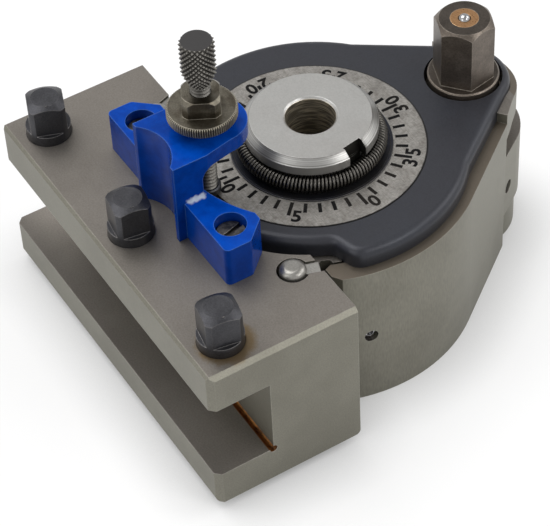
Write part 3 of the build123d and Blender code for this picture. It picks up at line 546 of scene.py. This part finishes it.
def plain_metal(name):
    """A metal that needs no more than its own grain and wear."""
    if name == "Core steel":
        return ground_steel(name).done()
    *colours, more = {
        "Black oxide": ("oxide", (0.03, 0.03, 0.033), "oxide_worn", 0.40,
            {"wear": 0.8, "wear_width": 0.4, "cloud_size": 6}),
        "Brass": ("brass", (0.30, 0.15, 0.08), (0.70, 0.48, 0.28), 0.30, {}),
        "Chrome": ("chrome", (0.28, 0.28, 0.29), "chrome", 0.10, {"bump": 0.0, "speckle": 0.05}),
        "Pin steel": ("turned", "ground", "turned", 0.28, {}),
        "Claw steel": ((0.33, 0.32, 0.30), (0.25, 0.24, 0.22), (0.5, 0.48, 0.45), 0.34,
            {"wear": 0.4, "metallic": 0.85}),
        "Wear ring": ((0.016, 0.018, 0.027), (0.030, 0.029, 0.030), (0.25, 0.24, 0.23), 0.36,
            {"metallic": 0.7, "wear": 0.6}),
        "Spring wire": ("spring", (0.085, 0.080, 0.072), (0.5, 0.48, 0.45), 0.30, {"wear": 0.0, "bump": 0.0}),
        "Mark fill": ("paint_black", (0.016, 0.014, 0.012), "paint_black", 0.8,
            {"metallic": 0.0, "wear": 0.0, "specular": 0.1}),
        "Bracket screw": ((0.19, 0.18, 0.16), "oxide", "oxide_worn", 0.35, {"cloud_size": 3}),
        "Foot oxide": ("oxide", (0.045, 0.045, 0.05), "oxide", 0.45, {"wear": 0.0}),
        "Rib oxide": ("bronze_oxide", (0.11, 0.10, 0.08), (0.34, 0.31, 0.25), 0.36,
            {"wear": 0.0, "crest": True}),
        "Nut oxide": ("bronze_oxide", (0.075, 0.064, 0.048), (0.42, 0.39, 0.32), 0.34,
            {"rings": axis_of("lock_nut"), "bump": 0.1, "ring_bump": 0.5, "wear": 0.8,
             "speckle": 0.4, "cloud_size": 5}),
    }[name]
    return metal(name, *colours, **more).done()


def turned_steel(sizes):
    """Bright turned steel of the centre sleeve, brown in its bore with painted shade deeper down, and painted
    shade in its notch.
    """
    hair = 0.04 * MM
    axis = axis_of("centre_sleeve")
    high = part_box("centre_sleeve")[1]
    coat = metal("Turned steel", "turned", (0.40, 0.39, 0.375), (0.58, 0.56, 0.53), 0.36, rings=axis,
                 bump=0.03, ring_bump=0.22, wear=0.6, cloud_size=20, metallic=0.85, speckle=0.15)
    away = coat.radius(axis)
    x, y, height = coat.xyz(coat.place())
    outer = (1.0 - coat.level(0.75)) * away.span(12.6 * MM, 12.8 * MM)
    lines = coat.effect("Turning marks", axis=axis, fineness=4200.0)
    coat.lay(outer * 0.85, coat.mix(lines.span(0.35, 0.65), (0.17, 0.165, 0.155), (0.42, 0.415, 0.40)))
    bore = 1.0 - away.span(sizes.bore + 0.02 * MM, sizes.bore + 0.1 * MM)
    bored = coat.effect("Grain", fineness=(250.0, 250.0, 3200.0), detail=3.0)
    coat.lay(bore, coat.mix(bored.span(0.4, 0.62), tuple(0.35 * part for part in tint_of("bore")), "bore"))
    # Painted shade: the bore darkens with depth.
    bore_painted_shade = bore * (1.0 - height.span(high.z - 22 * MM, high.z))
    coat.lay(bore_painted_shade * 0.5, (0.07, 0.06, 0.045))
    ahead, aside = cos(sizes.notch_turn), sin(sizes.notch_turn)
    across = x * -aside + y * ahead
    along = x * ahead + y * aside
    # Painted shade in the notch.
    notch = coat.math("COMPARE", across, sizes.notch_shift, sizes.notch + 0.05 * MM)
    notch = notch * (along > 12.2 * MM) * (away < high.x - hair) * (height < high.z + sizes.lift - hair)
    coat.lay(notch, (0.040, 0.039, 0.034))
    return coat.done()


def dial_steel():
    """Brushed steel of the dial, stained in clouds, scratched, and with a painted shadow line at its outer
    rim.
    """
    coat = metal("Dial steel", "dial", (0.25, 0.238, 0.22), (0.6, 0.57, 0.53), 0.38, metallic=0.8,
                 fineness=(2600.0, 1300.0, 900.0), speckle=0.45, wear=0.0, bump=0.1, cloud_size=6)
    coat.lay(coat.effect("Clouds", size=1.6 * MM, low=0.5, high=0.75) * 0.7, "dial_stain")
    scratch = coat.effect("Grain", fineness=(420.0, 5200.0, 300.0), detail=3.0)
    coat.lay(scratch.span(0.54, 0.66) * 0.62, "dial_stain")
    # Painted shadow: a dark ragged line at the dial's outer rim.
    ragged = coat.effect("Clouds", size=1.2 * MM, low=0.25, high=0.8) * (0.12 * MM)
    rim = (coat.radius(axis_of("dial_ring")) + ragged).span(24.8 * MM, 25.05 * MM)
    coat.lay(rim * 0.9, "paint_black")
    return coat.done()


def cover_paint():
    """Blue-black satin of the cover plate, with a painted shadow line in the gap round the dial."""
    coat = metal("Cover satin", "cover", (0.030, 0.032, 0.040), "cover_edge", 0.40, metallic=0.35,
                 wear=0.35, wear_width=0.8, soft=0.4, bump=0.05, speckle=0.25, specular=0.42)
    # Painted shadow: a dark line on the cover round the dial's rim.
    groove = coat.radius().band(24.98 * MM, 25.25 * MM, 0.08 * MM)
    coat.lay(groove * 0.9, "paint_black")
    return coat.done()


def shaft_oxide():
    """Brown oxide of the shaft, with painted shade on the faces that look up, such as the hexagon's end."""
    coat = metal("Shaft oxide", "shaft", (0.105, 0.087, 0.072), (0.44, 0.40, 0.34), 0.38, wear=1.0,
                 wear_width=0.45, cloud_size=6, bump=0.12, speckle=0.45, metallic=0.8)
    # Painted shade: faces that look up are darkened.
    coat.shade(coat.level(0.75).scaled(-0.5, 1.0))
    return coat.done()


def knob_oxide(name, crests):
    """Dark oxide of the adjusting screw, rubbed bright on its crests, with painted shade in its grooves, and
    dull on its top.
    """
    coat = metal(name, (0.105, 0.099, 0.090), (0.075, 0.070, 0.064), crests, 0.40, wear=0.0,
                 crest=True, cloud_size=4, soft=0.05)
    coat.lay(coat.level(0.97, 0.995), (0.070, 0.068, 0.068))
    return coat.done()


def enamel():
    """Gloss enamel with painted shade on its sides, lighter edges that are partly worn paint and partly
    painted highlight, and a pale painted highlight by the near ear.
    """
    # The edge colour is partly worn paint and partly painted highlight.
    coat = metal("Blue enamel", "enamel", (0.0003, 0.044, 0.32), "enamel_edge", 0.22,
                 metallic=0.0, fineness=(900.0, 900.0, 900.0), wear=0.55, wear_width=0.45,
                 soft=0.4, bump=0.3, speckle=0.12, cloud_size=4, specular=0.12)
    # Painted shade: the sides are darker than the faces that look up.
    coat.shade(coat.level(0.2, 0.8).scaled(0.38, 0.62))
    ear = top("bracket_screws") + 4.0 * MM
    # Painted highlight: a pale patch on the fillet beside the near ear.
    for y in (-34.6, -33.2, -31.8):
        chip = coat.effect("Stain", middle=Vector((8.0 * MM, y * MM, ear)), radius=1.4 * MM,
                           inside=0.7 * MM, ragged=1.5 * MM)
        coat.lay(chip * 0.8, "chip")
    return coat.done()


def new_object(name, data):
    thing = bpy.data.objects.new(name, data)
    bpy.context.scene.collection.objects.link(thing)
    return thing


def evaluated_mesh(thing):
    """Plain mesh of an object with its modifiers or its type applied."""
    return bpy.data.meshes.new_from_object(thing.evaluated_get(bpy.context.evaluated_depsgraph_get()))


def outwards(mesh):
    """Joins doubled points and turns every face outwards."""
    work = bmesh.new()
    work.from_mesh(mesh)
    bmesh.ops.remove_doubles(work, verts=work.verts, dist=MERGED)
    bmesh.ops.dissolve_degenerate(work, edges=work.edges, dist=MERGED)
    bmesh.ops.recalc_face_normals(work, faces=work.faces)
    work.to_mesh(mesh)
    work.free()


def seat(thing, node, slot, material, *replaced):
    """Gives a piece its material and its body, and hides the solids it replaces; its slot is not used."""
    thing.data.materials.clear()
    thing.data.materials.append(material)
    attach(thing, frame["nodes"][node]["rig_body"])
    if replaced:
        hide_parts(*replaced)
    return thing


def paint(material, *nodes):
    """A better material on solids whose shape is right."""
    for node in nodes:
        data = frame["nodes"][node].data
        data.materials.clear()
        data.materials.append(material)


def reshaped(node, slot, material, move):
    """Copy of a solid with each point moved by a function, seated in the solid's place."""
    mesh = frame["nodes"][node].data.copy()
    for vertex in mesh.vertices:
        vertex.co = move(vertex.co)
    mesh.update()
    thing = new_object(node + "_finished", mesh)
    return seat(thing, node, slot, material, node)


def about(axis, change):
    """Point's move, from a function of its offset from an upright axis and its height."""

    def move(point):
        flat, height = change(Vector((point.x, point.y, 0.0)) - axis, point.z)
        return axis + flat + Vector((0.0, 0.0, height))

    return move


def geometry_tree(name, **inputs):
    """New Geometry Nodes tree that ends in Realize Instances and Set Material."""
    kinds = ("GeometryNodeTree", "NodeSocketGeometry")
    tree, given = shared(name, "Geometry", kinds, **inputs, material=None)
    real = tree.node("GeometryNodeRealizeInstances")
    whole = {"Geometry": Field(tree, real.outputs[0]), "Material": given.material}
    tree.close(tree.add("GeometryNodeSetMaterial", whole))
    tree.out = real.inputs[0]
    return tree, given


def grown(name, tree, material, **values):
    """Plain mesh object that a Geometry Nodes tree makes from its named inputs."""
    thing = new_object(name, bpy.data.meshes.new(name))
    modifier = thing.modifiers.new(name, "NODES")
    modifier.node_group = tree
    sockets = {item.name: item.identifier for item in tree.interface.items_tree if item.in_out == "INPUT"}
    for label, value in {**labelled(values), "Material": material}.items():
        modifier[sockets[label]] = value
    mesh = evaluated_mesh(thing)
    thing.modifiers.clear()
    thing.data = mesh
    outwards(mesh)
    return thing


@cache
def cut_bar_tree():
    """Round bar with grooves wound round it one way or both: a knurl or a thread."""
    tree, given = geometry_tree(
        "Cut bar", radius=0.003, low=0.0, high=0.01, low_radius=0.003, low_slope=1.0, high_radius=0.003,
        high_slope=1.0, depth=0.0, rise=1.0, cross=0.0, starts=1, columns=49, rows=96, axis=ORIGIN)
    grid = tree.add("GeometryNodeMeshGrid", {
        "Size X": 1.0, "Size Y": 1.0, "Vertices X": given.columns, "Vertices Y": given.rows})
    across, up, _ = tree.xyz(tree.add("GeometryNodeInputPosition"))
    around = across + 0.5
    last = given.rows - 1.0
    part = (((up + 0.5) * last - 1.0) / (given.rows - 3.0)).clamped()
    run = part * (given.high - given.low)
    height = given.low + run
    winds = run / given.rise
    starts = around * given.starts
    one_way = tree.math("PINGPONG", starts + winds, 0.5)
    other = tree.math("PINGPONG", starts - winds, 0.5)
    other = tree.math("MAXIMUM", other, 0.5 - given.cross * 0.5)
    crest = (tree.math("MINIMUM", one_way, other) * 2.2).clamped()
    groove = (1.0 - crest) * given.depth
    low_limit = given.low_radius + run * given.low_slope
    high_limit = given.high_radius + (given.high - height) * given.high_slope
    limit = tree.math("MINIMUM", low_limit, high_limit)
    radius = tree.math("MINIMUM", given.radius, limit) - groove
    valley = tree.math("MINIMUM", given.radius - given.depth, high_limit)
    valley = tree.math("MINIMUM", valley, low_limit - given.depth)
    radius = tree.math("MAXIMUM", radius, valley) * (abs(up) < 0.5 - 0.5 / last)
    kept = tree.add("GeometryNodeStoreNamedAttribute", {"Geometry": grid, "Name": "crest", "Value": crest},
                    data_type="FLOAT", domain="POINT")
    bar = tree.moved(kept, tree.polar(radius, around * (2 * pi), height) + given.axis)
    return tree.close(tree.add("GeometryNodeMergeByDistance", {"Geometry": bar, "Distance": MERGED}))


def coil_tree():
    """Wire wound round a ring."""
    tree, given = geometry_tree("Garter coil", radius=0.0146, tube=0.0015, wire=0.0005,
                                turns=120, steps=12, middle=ORIGIN)
    points = given.turns * given.steps
    line = tree.add("GeometryNodeCurvePrimitiveCircle", {"Resolution": points, "Radius": 1.0})
    turn = tree.add("GeometryNodeInputIndex") / points * (2 * pi)
    wind = turn * given.turns
    reach = given.radius + given.tube * tree.math("COSINE", wind)
    spot = tree.polar(reach, turn, given.tube * tree.math("SINE", wind))
    section = tree.add("GeometryNodeCurvePrimitiveCircle", {"Resolution": 7, "Radius": given.wire * 0.5})
    wire = tree.add("GeometryNodeCurveToMesh", {"Curve": tree.moved(line, spot + given.middle),
                                                "Profile Curve": section})
    return tree.close(tree.add("GeometryNodeSetShadeSmooth", {"Geometry": wire}))


def spokes_tree():
    """Bars set round an axis like spokes, each so many of them longer."""
    tree, given = geometry_tree("Spokes", inner=0.018, short=0.02, long=0.022, width=0.0004,
                                low=0.0, high=0.001, count=40, every=5, axis=ORIGIN)
    points = tree.add("GeometryNodeMeshLine", {"Count": given.count})
    index = tree.add("GeometryNodeInputIndex")
    turn = index / given.count * (2 * pi)
    longer = tree.math("MODULO", index, given.every) < 0.5
    outer = given.short + longer * (given.long - given.short)
    reach = (given.inner + outer) * 0.5
    level = (given.low + given.high) * 0.5
    size = tree.add("ShaderNodeCombineXYZ", [outer - given.inner, given.width, given.high - given.low])
    bars = tree.add("GeometryNodeInstanceOnPoints", {
        "Points": tree.moved(points, tree.polar(reach, turn, level) + given.axis),
        "Instance": tree.add("GeometryNodeMeshCube", {"Size": (1.0, 1.0, 1.0)}),
        "Rotation": tree.add("ShaderNodeCombineXYZ", {"Z": turn}), "Scale": size})
    return tree.close(bars)


def digit_mesh(text, sizes):
    """Flat digit with its middle at the origin."""
    curve = bpy.data.curves.new("digit", "FONT")
    curve.body = text
    curve.size = sizes.digit_size
    curve.offset = sizes.digit_bold
    curve.extrude = sizes.sunk / 2
    curve.resolution_u = 4
    curve.align_x = curve.align_y = "CENTER"
    thing = new_object("digit", curve)
    bpy.context.view_layer.update()
    mesh = evaluated_mesh(thing)
    bpy.data.objects.remove(thing)
    return mesh


def dial_digits(sizes, level):
    """One mesh of all the dial's digits, their tops towards its axis."""
    offsets = {1: (4.6,), 2: (-4.3, 4.4)}  # degrees from the mark
    axis = axis_of("dial_ring")
    work = bmesh.new()
    for number in range(0, sizes.count, sizes.every):
        text = str(number)
        for letter, offset in zip(text, offsets[len(text)]):
            bearing = radians(offset - number * 360.0 / sizes.count)
            digit = digit_mesh(letter, sizes)
            place = axis + Vector((cos(bearing), sin(bearing), 0.0)) * sizes.digit_radius
            place.z = level
            digit.transform(Matrix.Translation(place) @ Matrix.Rotation(bearing + pi / 2, 4, "Z"))
            work.from_mesh(digit)
    mesh = bpy.data.meshes.new("dial_numbers")
    work.to_mesh(mesh)
    work.free()
    return mesh


class TOOLPOST_OT_head(Operator):
    """Finish the toothed core, the pear-shaped ring and what they hold inside"""

    bl_idname = "toolpost.head"
    bl_label = "Core and ring"

    def execute(self, context):
        plain = {"Core steel": ("core", "thrust_shoe"), "Pin steel": ("cover_pins",),
                 "Chrome": ("claw_screws",), "Black oxide": ("sleeve_nut", "cross_pin"),
                 "Brass": ("upper_bush", "lower_bush"), "Claw steel": ("claw_right", "claw_left")}
        for name, nodes in plain.items():
            paint(plain_metal(name), *nodes)
        paint(ring_steel(), "clamp_ring")
        return {"FINISHED"}


class TOOLPOST_OT_cover(Operator):
    """Finish the cover plate and the wear ring"""

    bl_idname = "toolpost.cover"
    bl_label = "Cover plate"

    def execute(self, context):
        paint(cover_paint(), "cover_plate")
        paint(plain_metal("Wear ring"), "wear_ring")
        return {"FINISHED"}


class TOOLPOST_OT_dial(Operator):
    """Finish the dial and add its marks and numbers"""

    bl_idname = "toolpost.dial"
    bl_label = "Dial"

    def execute(self, context):
        sizes = chosen("dial")
        face = top("dial_ring")
        paint(dial_steel(), "dial_ring")
        black = plain_metal("Mark fill")
        marks = grown("dial_marks", spokes_tree(), black, inner=sizes.inner, short=sizes.short,
                      long=sizes.long, width=sizes.width, low=face - sizes.sunk, high=face + sizes.proud,
                      count=sizes.count, every=sizes.every, axis=axis_of("dial_ring"))
        numbers = new_object("dial_numbers", dial_digits(sizes, face + sizes.proud - sizes.sunk / 2))
        for thing in (marks, numbers):
            seat(thing, "dial_ring", "black_steel", black)
        return {"FINISHED"}


class TOOLPOST_OT_sleeve(Operator):
    """Finish the centre sleeve and wind the garter spring round it"""

    bl_idname = "toolpost.sleeve"
    bl_label = "Centre sleeve"

    def execute(self, context):
        sizes = chosen("sleeve")
        self.collar(sizes)
        low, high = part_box("garter_spring")
        tube = (high.z - low.z) / 2
        wire = plain_metal("Spring wire")
        coil = grown("garter_coil", coil_tree(), wire, radius=(high.x - low.x) / 2 - tube,
                     tube=tube + sizes.fuller - sizes.wire / 2, wire=sizes.wire, turns=sizes.turns, steps=14,
                     middle=centre("garter_spring"))
        seat(coil, "garter_spring", "spring_steel", wire, "garter_spring")
        return {"FINISHED"}

    def collar(self, sizes):
        """The sleeve with its bore, its notch and its collar as photographed."""
        bore, rim = 6.0 * MM, 6.5 * MM
        notch, notch_start, near = 1.93 * MM, 12.0 * MM, 0.12 * MM
        high = top("centre_sleeve")
        collar_low, collar_under = high - 3.0 * MM, high - 4.0 * MM
        foot = 1.0 * MM
        turn = Matrix.Rotation(sizes.notch_turn, 3, "Z")

        def change(flat, height):
            if flat.length < bore:
                flat *= sizes.bore / flat.length
                height -= sizes.rim_depth if height > foot else 0.0
            elif flat.length < rim:
                flat *= sizes.rim / flat.length
            else:
                local = turn.inverted() @ flat
                if local.x > notch_start and abs(abs(local.y) - notch) < near:
                    local.y = sizes.notch_shift + (sizes.notch if local.y > 0 else -sizes.notch)
                flat = turn @ local
            if height > collar_low:
                height += sizes.lift
            elif height > collar_under:
                height += sizes.under_lift
            return flat, height

        move = about(axis_of("centre_sleeve"), change)
        reshaped("centre_sleeve", "bright_steel", turned_steel(sizes), move)


class TOOLPOST_OT_shaft(Operator):
    """Finish the clamping shaft and its ball catch"""

    bl_idname = "toolpost.shaft"
    bl_label = "Clamping shaft"

    def execute(self, context):
        paint(shaft_oxide(), "clamping_shaft")
        paint(plain_metal("Brass"), "catch_sleeve")
        paint(plain_metal("Chrome"), "catch_ball")
        self.catch_spring()
        return {"FINISHED"}

    def catch_spring(self):
        """The coil under the ball, which in the real catch shortens as the ball is pressed; here it is copied
        unchanged.
        """
        wire = plain_metal("Spring wire")
        coil = reshaped("catch_spring", "spring_steel", wire, lambda point: point)
        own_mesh(coil)


class TOOLPOST_OT_block(Operator):
    """Finish the tool block with its finely ground edges, and its clamp screws"""

    bl_idname = "toolpost.block"
    bl_label = "Tool block"

    def execute(self, context):
        sizes = chosen("screws")
        low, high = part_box("tool_holder")

        def finer(point):
            """Draws the points of the ground edges towards the block's corners."""
            x, y, z = point
            for side in (low.x, high.x):
                if abs(x - side) <= sizes.edge_band:
                    x = side + (x - side) * sizes.edge_share
            if y - low.y <= sizes.edge_band:
                y = low.y + (y - low.y) * sizes.edge_share
            if high.z - z <= sizes.edge_band:
                z = high.z + (z - high.z) * sizes.edge_share
            return x, y, z

        reshaped("tool_holder", "ground_steel", block_steel(), finer)
        for number in (1, 2, 3):
            self.clamp_screw(number, sizes)
        return {"FINISHED"}

    def clamp_screw(self, number, sizes):
        """One square-head screw, turned as photographed, with a wider flat on its head."""
        node = f"clamp_screw_{number}"
        low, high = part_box(node)
        face = high.z - 0.01 * MM
        rim = high.z - (high - low).x / 4
        collar = top("tool_holder") + 2.0 * MM
        crown = high.z - sizes.sinking
        turn = Matrix.Rotation(sizes.turns[number - 1], 3, "Z")

        def change(flat, height):
            if height > face:
                flat = flat.normalized() * sizes.crown if flat.length > 0.5 * MM else flat
                height = crown
            elif height > rim:
                height = crown - sizes.crown_slope * (flat.length - sizes.crown)
            elif abs(height - collar) < 0.05 * MM:
                height += sizes.collar
            return turn @ flat, height

        axis = axis_of(node)
        oxide = metal(f"Screw oxide {number}", "oxide", (0.045, 0.045, 0.05), "oxide_worn", 0.38,
                      rings=axis, soft=0.25, bump=0.12, ring_bump=0.6, wear=0.5, wear_width=0.4,
                      cloud_size=5, metallic=0.8, speckle=0.45)
        reshaped(node, "black_steel", oxide.done(), about(axis, change))


class TOOLPOST_OT_bracket(Operator):
    """Finish the height bracket and its screws"""

    bl_idname = "toolpost.bracket"
    bl_label = "Height bracket"

    def execute(self, context):
        sizes = chosen("screws")
        paint(enamel(), "height_bracket")
        dark = plain_metal("Bracket screw")
        low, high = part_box("bracket_screws")
        reach = high.x - (high.y - low.y) / 2
        head = high.z - 1.3 * MM
        turn = Matrix.Rotation(sizes.slot_turn, 3, "Z")

        def change(flat, height):
            return turn @ flat, height + (sizes.head_lift if height > head else 0.0)

        def move(point):
            """Turns each screw about its own axis and lifts its head in the counterbore."""
            side = 1 if point.x > 0 else -1
            return about(Vector((side * reach, (low.y + high.y) / 2, 0.0)), change)(point)

        reshaped("bracket_screws", "black_steel", dark, move)
        return {"FINISHED"}


def cut_bar(name, node, material, *replaced, **sizes):
    """Grooved round bar, seated on a solid's body."""
    bar = grown(name, cut_bar_tree(), material, axis=axis_of(node), **sizes)
    seat(bar, node, "black_steel", material, *replaced)


class TOOLPOST_OT_adjuster(Operator):
    """Cut the adjusting screw's knurl and thread, and the lock nut's ribs"""

    bl_idname = "toolpost.adjuster"
    bl_label = "Adjusting screw"

    def execute(self, context):
        sizes = chosen("screws")
        low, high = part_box("adjusting_screw")
        knob_base = high.z - sizes.knob_length
        foot_top = low.z + sizes.foot_height
        overlap = 0.5 * MM
        cut_bar("adjusting_screw_knob", "adjusting_screw", knob_oxide("Knob oxide", (0.235, 0.225, 0.205)),
                "adjusting_screw", radius=sizes.knob, low=knob_base, high=high.z,
                low_radius=sizes.knob_neck, low_slope=sizes.knob_slope, high_radius=sizes.knob_cap,
                depth=sizes.knurl_depth, rise=sizes.knurl_rise, cross=1.0,
                starts=sizes.knurl_starts, columns=sizes.knurl_starts * 14 + 1, rows=137)
        cut_bar("adjusting_screw_thread", "adjusting_screw", knob_oxide("Thread oxide", (0.125, 0.12, 0.11)),
                radius=sizes.thread, low=foot_top - overlap, high=knob_base + overlap,
                low_radius=sizes.thread, high_radius=sizes.thread, depth=sizes.thread_depth,
                rise=sizes.thread_pitch, rows=400)
        cut_bar("adjusting_screw_foot", "adjusting_screw", plain_metal("Foot oxide"),
                radius=sizes.foot, low=low.z, high=foot_top, low_radius=sizes.foot - 0.4 * MM,
                high_radius=sizes.foot - 0.3 * MM, rows=24)
        self.lock_nut(sizes)
        return {"FINISHED"}

    def lock_nut(self, sizes):
        """The nut, its bore closed to the thread and its flange ribbed."""
        bore, rim, chamfer = 3.4 * MM, 0.6 * MM, 0.25 * MM
        low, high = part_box("lock_nut")
        flange = (high.x - low.x) / 2

        def change(flat, height):
            if flat.length > flange - rim:
                flat *= 1 - sizes.rib_depth / flange
            elif flat.length < bore:
                flat *= sizes.thread / flat.length
            return flat, height

        reshaped("lock_nut", "black_steel", plain_metal("Nut oxide"), about(axis_of("lock_nut"), change))
        cut_bar("lock_nut_ribs", "lock_nut", plain_metal("Rib oxide"), radius=flange,
                low=low.z + 0.12 * MM, high=low.z + 2.42 * MM, low_radius=flange - chamfer,
                high_radius=flange - chamfer, depth=sizes.rib_depth, starts=sizes.flange_ribs,
                columns=sizes.flange_ribs * 6 + 1, rows=14)


class TOOLPOST_OT_stage(Operator):
    """Set the pale floor, the studio light and the photograph's camera"""

    bl_idname = "toolpost.stage"
    bl_label = "Stage"

    def execute(self, context):
        sizes = chosen("stage")
        self.floor(sizes)
        self.world(context.scene)
        for name, setting in LAMPS.items():
            self.lamp(name, *setting)
        self.camera(context.scene, sizes)
        context.scene.view_settings.view_transform = "Standard"
        return {"FINISHED"}

    def floor(self, sizes):
        """Pale floor, with a painted contact shadow where the post stands on it."""
        corners = [Vector((x, y, 0.0)) * FLOOR_REACH for x, y in ((-1, -1), (1, -1), (1, 1), (-1, 1))]
        mesh = bpy.data.meshes.new("floor")
        mesh.from_pydata(corners, [], [(0, 1, 2, 3)])
        coat = Coat("Floor")
        coat.give({"Base Color": (*sizes.floor, 1.0), "Roughness": 0.9, "Specular IOR Level": 0.0})
        # Painted contact shadow: the floor's glow is dimmed by ambient occlusion near the post.
        contact_shadow_ao = coat.add("ShaderNodeAmbientOcclusion", {"Distance": sizes.contact}, "AO", samples=8)
        glow = coat.add("ShaderNodeEmission", {"Color": (1.0, 1.0, 1.0, 1.0),
                                               "Strength": contact_shadow_ao.scaled(1.15, 0.24)})
        seen = coat.math("MAXIMUM", *self.rays(coat, "Camera", "Glossy")) * sizes.floor_glow
        blend = coat.add("ShaderNodeMixShader", [seen, Field(coat, coat.shader.outputs[0]), glow])
        coat.feed(coat.tree.nodes["Material Output"].inputs["Surface"], blend)
        thing = new_object("floor", mesh)
        mesh.materials.append(coat.material)

    def rays(self, tree, *kinds):
        """Whether the ray is of each kind."""
        outputs = tree.node("ShaderNodeLightPath").outputs
        return [Field(tree, outputs[f"Is {kind} Ray"]) for kind in kinds]

    def world(self, scene):
        """White for the camera, a soft sky for the light, brighter where it is mirrored."""
        scene.world = bpy.data.worlds.new("Studio")
        scene.world.use_nodes = True
        tree = Tree(scene.world.node_tree)
        sky = tree.tree.nodes["Background"]
        camera, glossy, through = self.rays(tree, "Camera", "Glossy", "Transmission")
        height = tree.xyz(tree.add("ShaderNodeTexCoord", output="Generated"))[2]
        soft = tree.mix(height.span(0.0, 0.9), (0.95, 0.95, 0.95), (0.62, 0.62, 0.62))
        tree.feed(sky.inputs["Color"], tree.mix(camera, soft, (1.0, 1.0, 1.0)))
        lit = tree.math("MAXIMUM", camera, tree.math("MAXIMUM", glossy, through))
        tree.feed(sky.inputs["Strength"], lit.span(-1.1, 1.0, "LINEAR"))

    def lamp(self, name, place, side, power):
        data = bpy.data.lights.new(name, "AREA")
        data.size = side
        data.energy = power
        thing = new_object(name, data)
        thing.location = place
        thing.rotation_euler = (-Vector(place)).to_track_quat("-Z", "Y").to_euler()

    def camera(self, scene, sizes):
        data = bpy.data.cameras.new("Camera")
        data.lens = sizes.lens
        data.sensor_width = SENSOR_WIDTH
        data.clip_end = 20.0
        thing = new_object("Camera", data)
        turn = Matrix.Rotation(sizes.azimuth, 4, "Z") @ Matrix.Rotation(pi / 2 - sizes.elevation, 4, "X")
        thing.matrix_world = Matrix.Translation(sizes.place) @ turn @ Matrix.Rotation(sizes.roll, 4, "Z")
        scene.camera = thing


class TOOLPOST_PT_panel(Panel):
    """Sizes and colours of the tool post"""

    bl_idname = "TOOLPOST_PT_panel"
    bl_label = "Tool post"
    bl_space_type = "VIEW_3D"
    bl_region_type = "UI"
    bl_category = "Tool post"

    def draw(self, context):
        for key, group in GROUPS.items():
            box = self.layout.box()
            for name in group.__annotations__:
                box.prop(chosen(key), name)
        for operator in OPERATORS:
            self.layout.operator(operator.bl_idname)


GROUPS = {"finishes": Finishes, "dial": DialSizes, "sleeve": SleeveSizes, "screws": ScrewSizes,
          "stage": StageSizes}
OPERATORS = [TOOLPOST_OT_head, TOOLPOST_OT_cover, TOOLPOST_OT_dial, TOOLPOST_OT_sleeve, TOOLPOST_OT_shaft,
             TOOLPOST_OT_block, TOOLPOST_OT_bracket, TOOLPOST_OT_adjuster, TOOLPOST_OT_stage]


def register():
    for group in (*GROUPS.values(), *OPERATORS, TOOLPOST_PT_panel):
        bpy.utils.register_class(group)
    for key, group in GROUPS.items():
        setattr(Scene, "toolpost_" + key, PointerProperty(type=group))


def unregister():
    for key in GROUPS:
        delattr(Scene, "toolpost_" + key)
    for group in (TOOLPOST_PT_panel, *reversed(OPERATORS), *GROUPS.values()):
        bpy.utils.unregister_class(group)


def main():
    register()
    for operator in OPERATORS:
        area, name = operator.bl_idname.split(".")
        getattr(getattr(bpy.ops, area), name)()


if __name__ == "__main__":
    main()
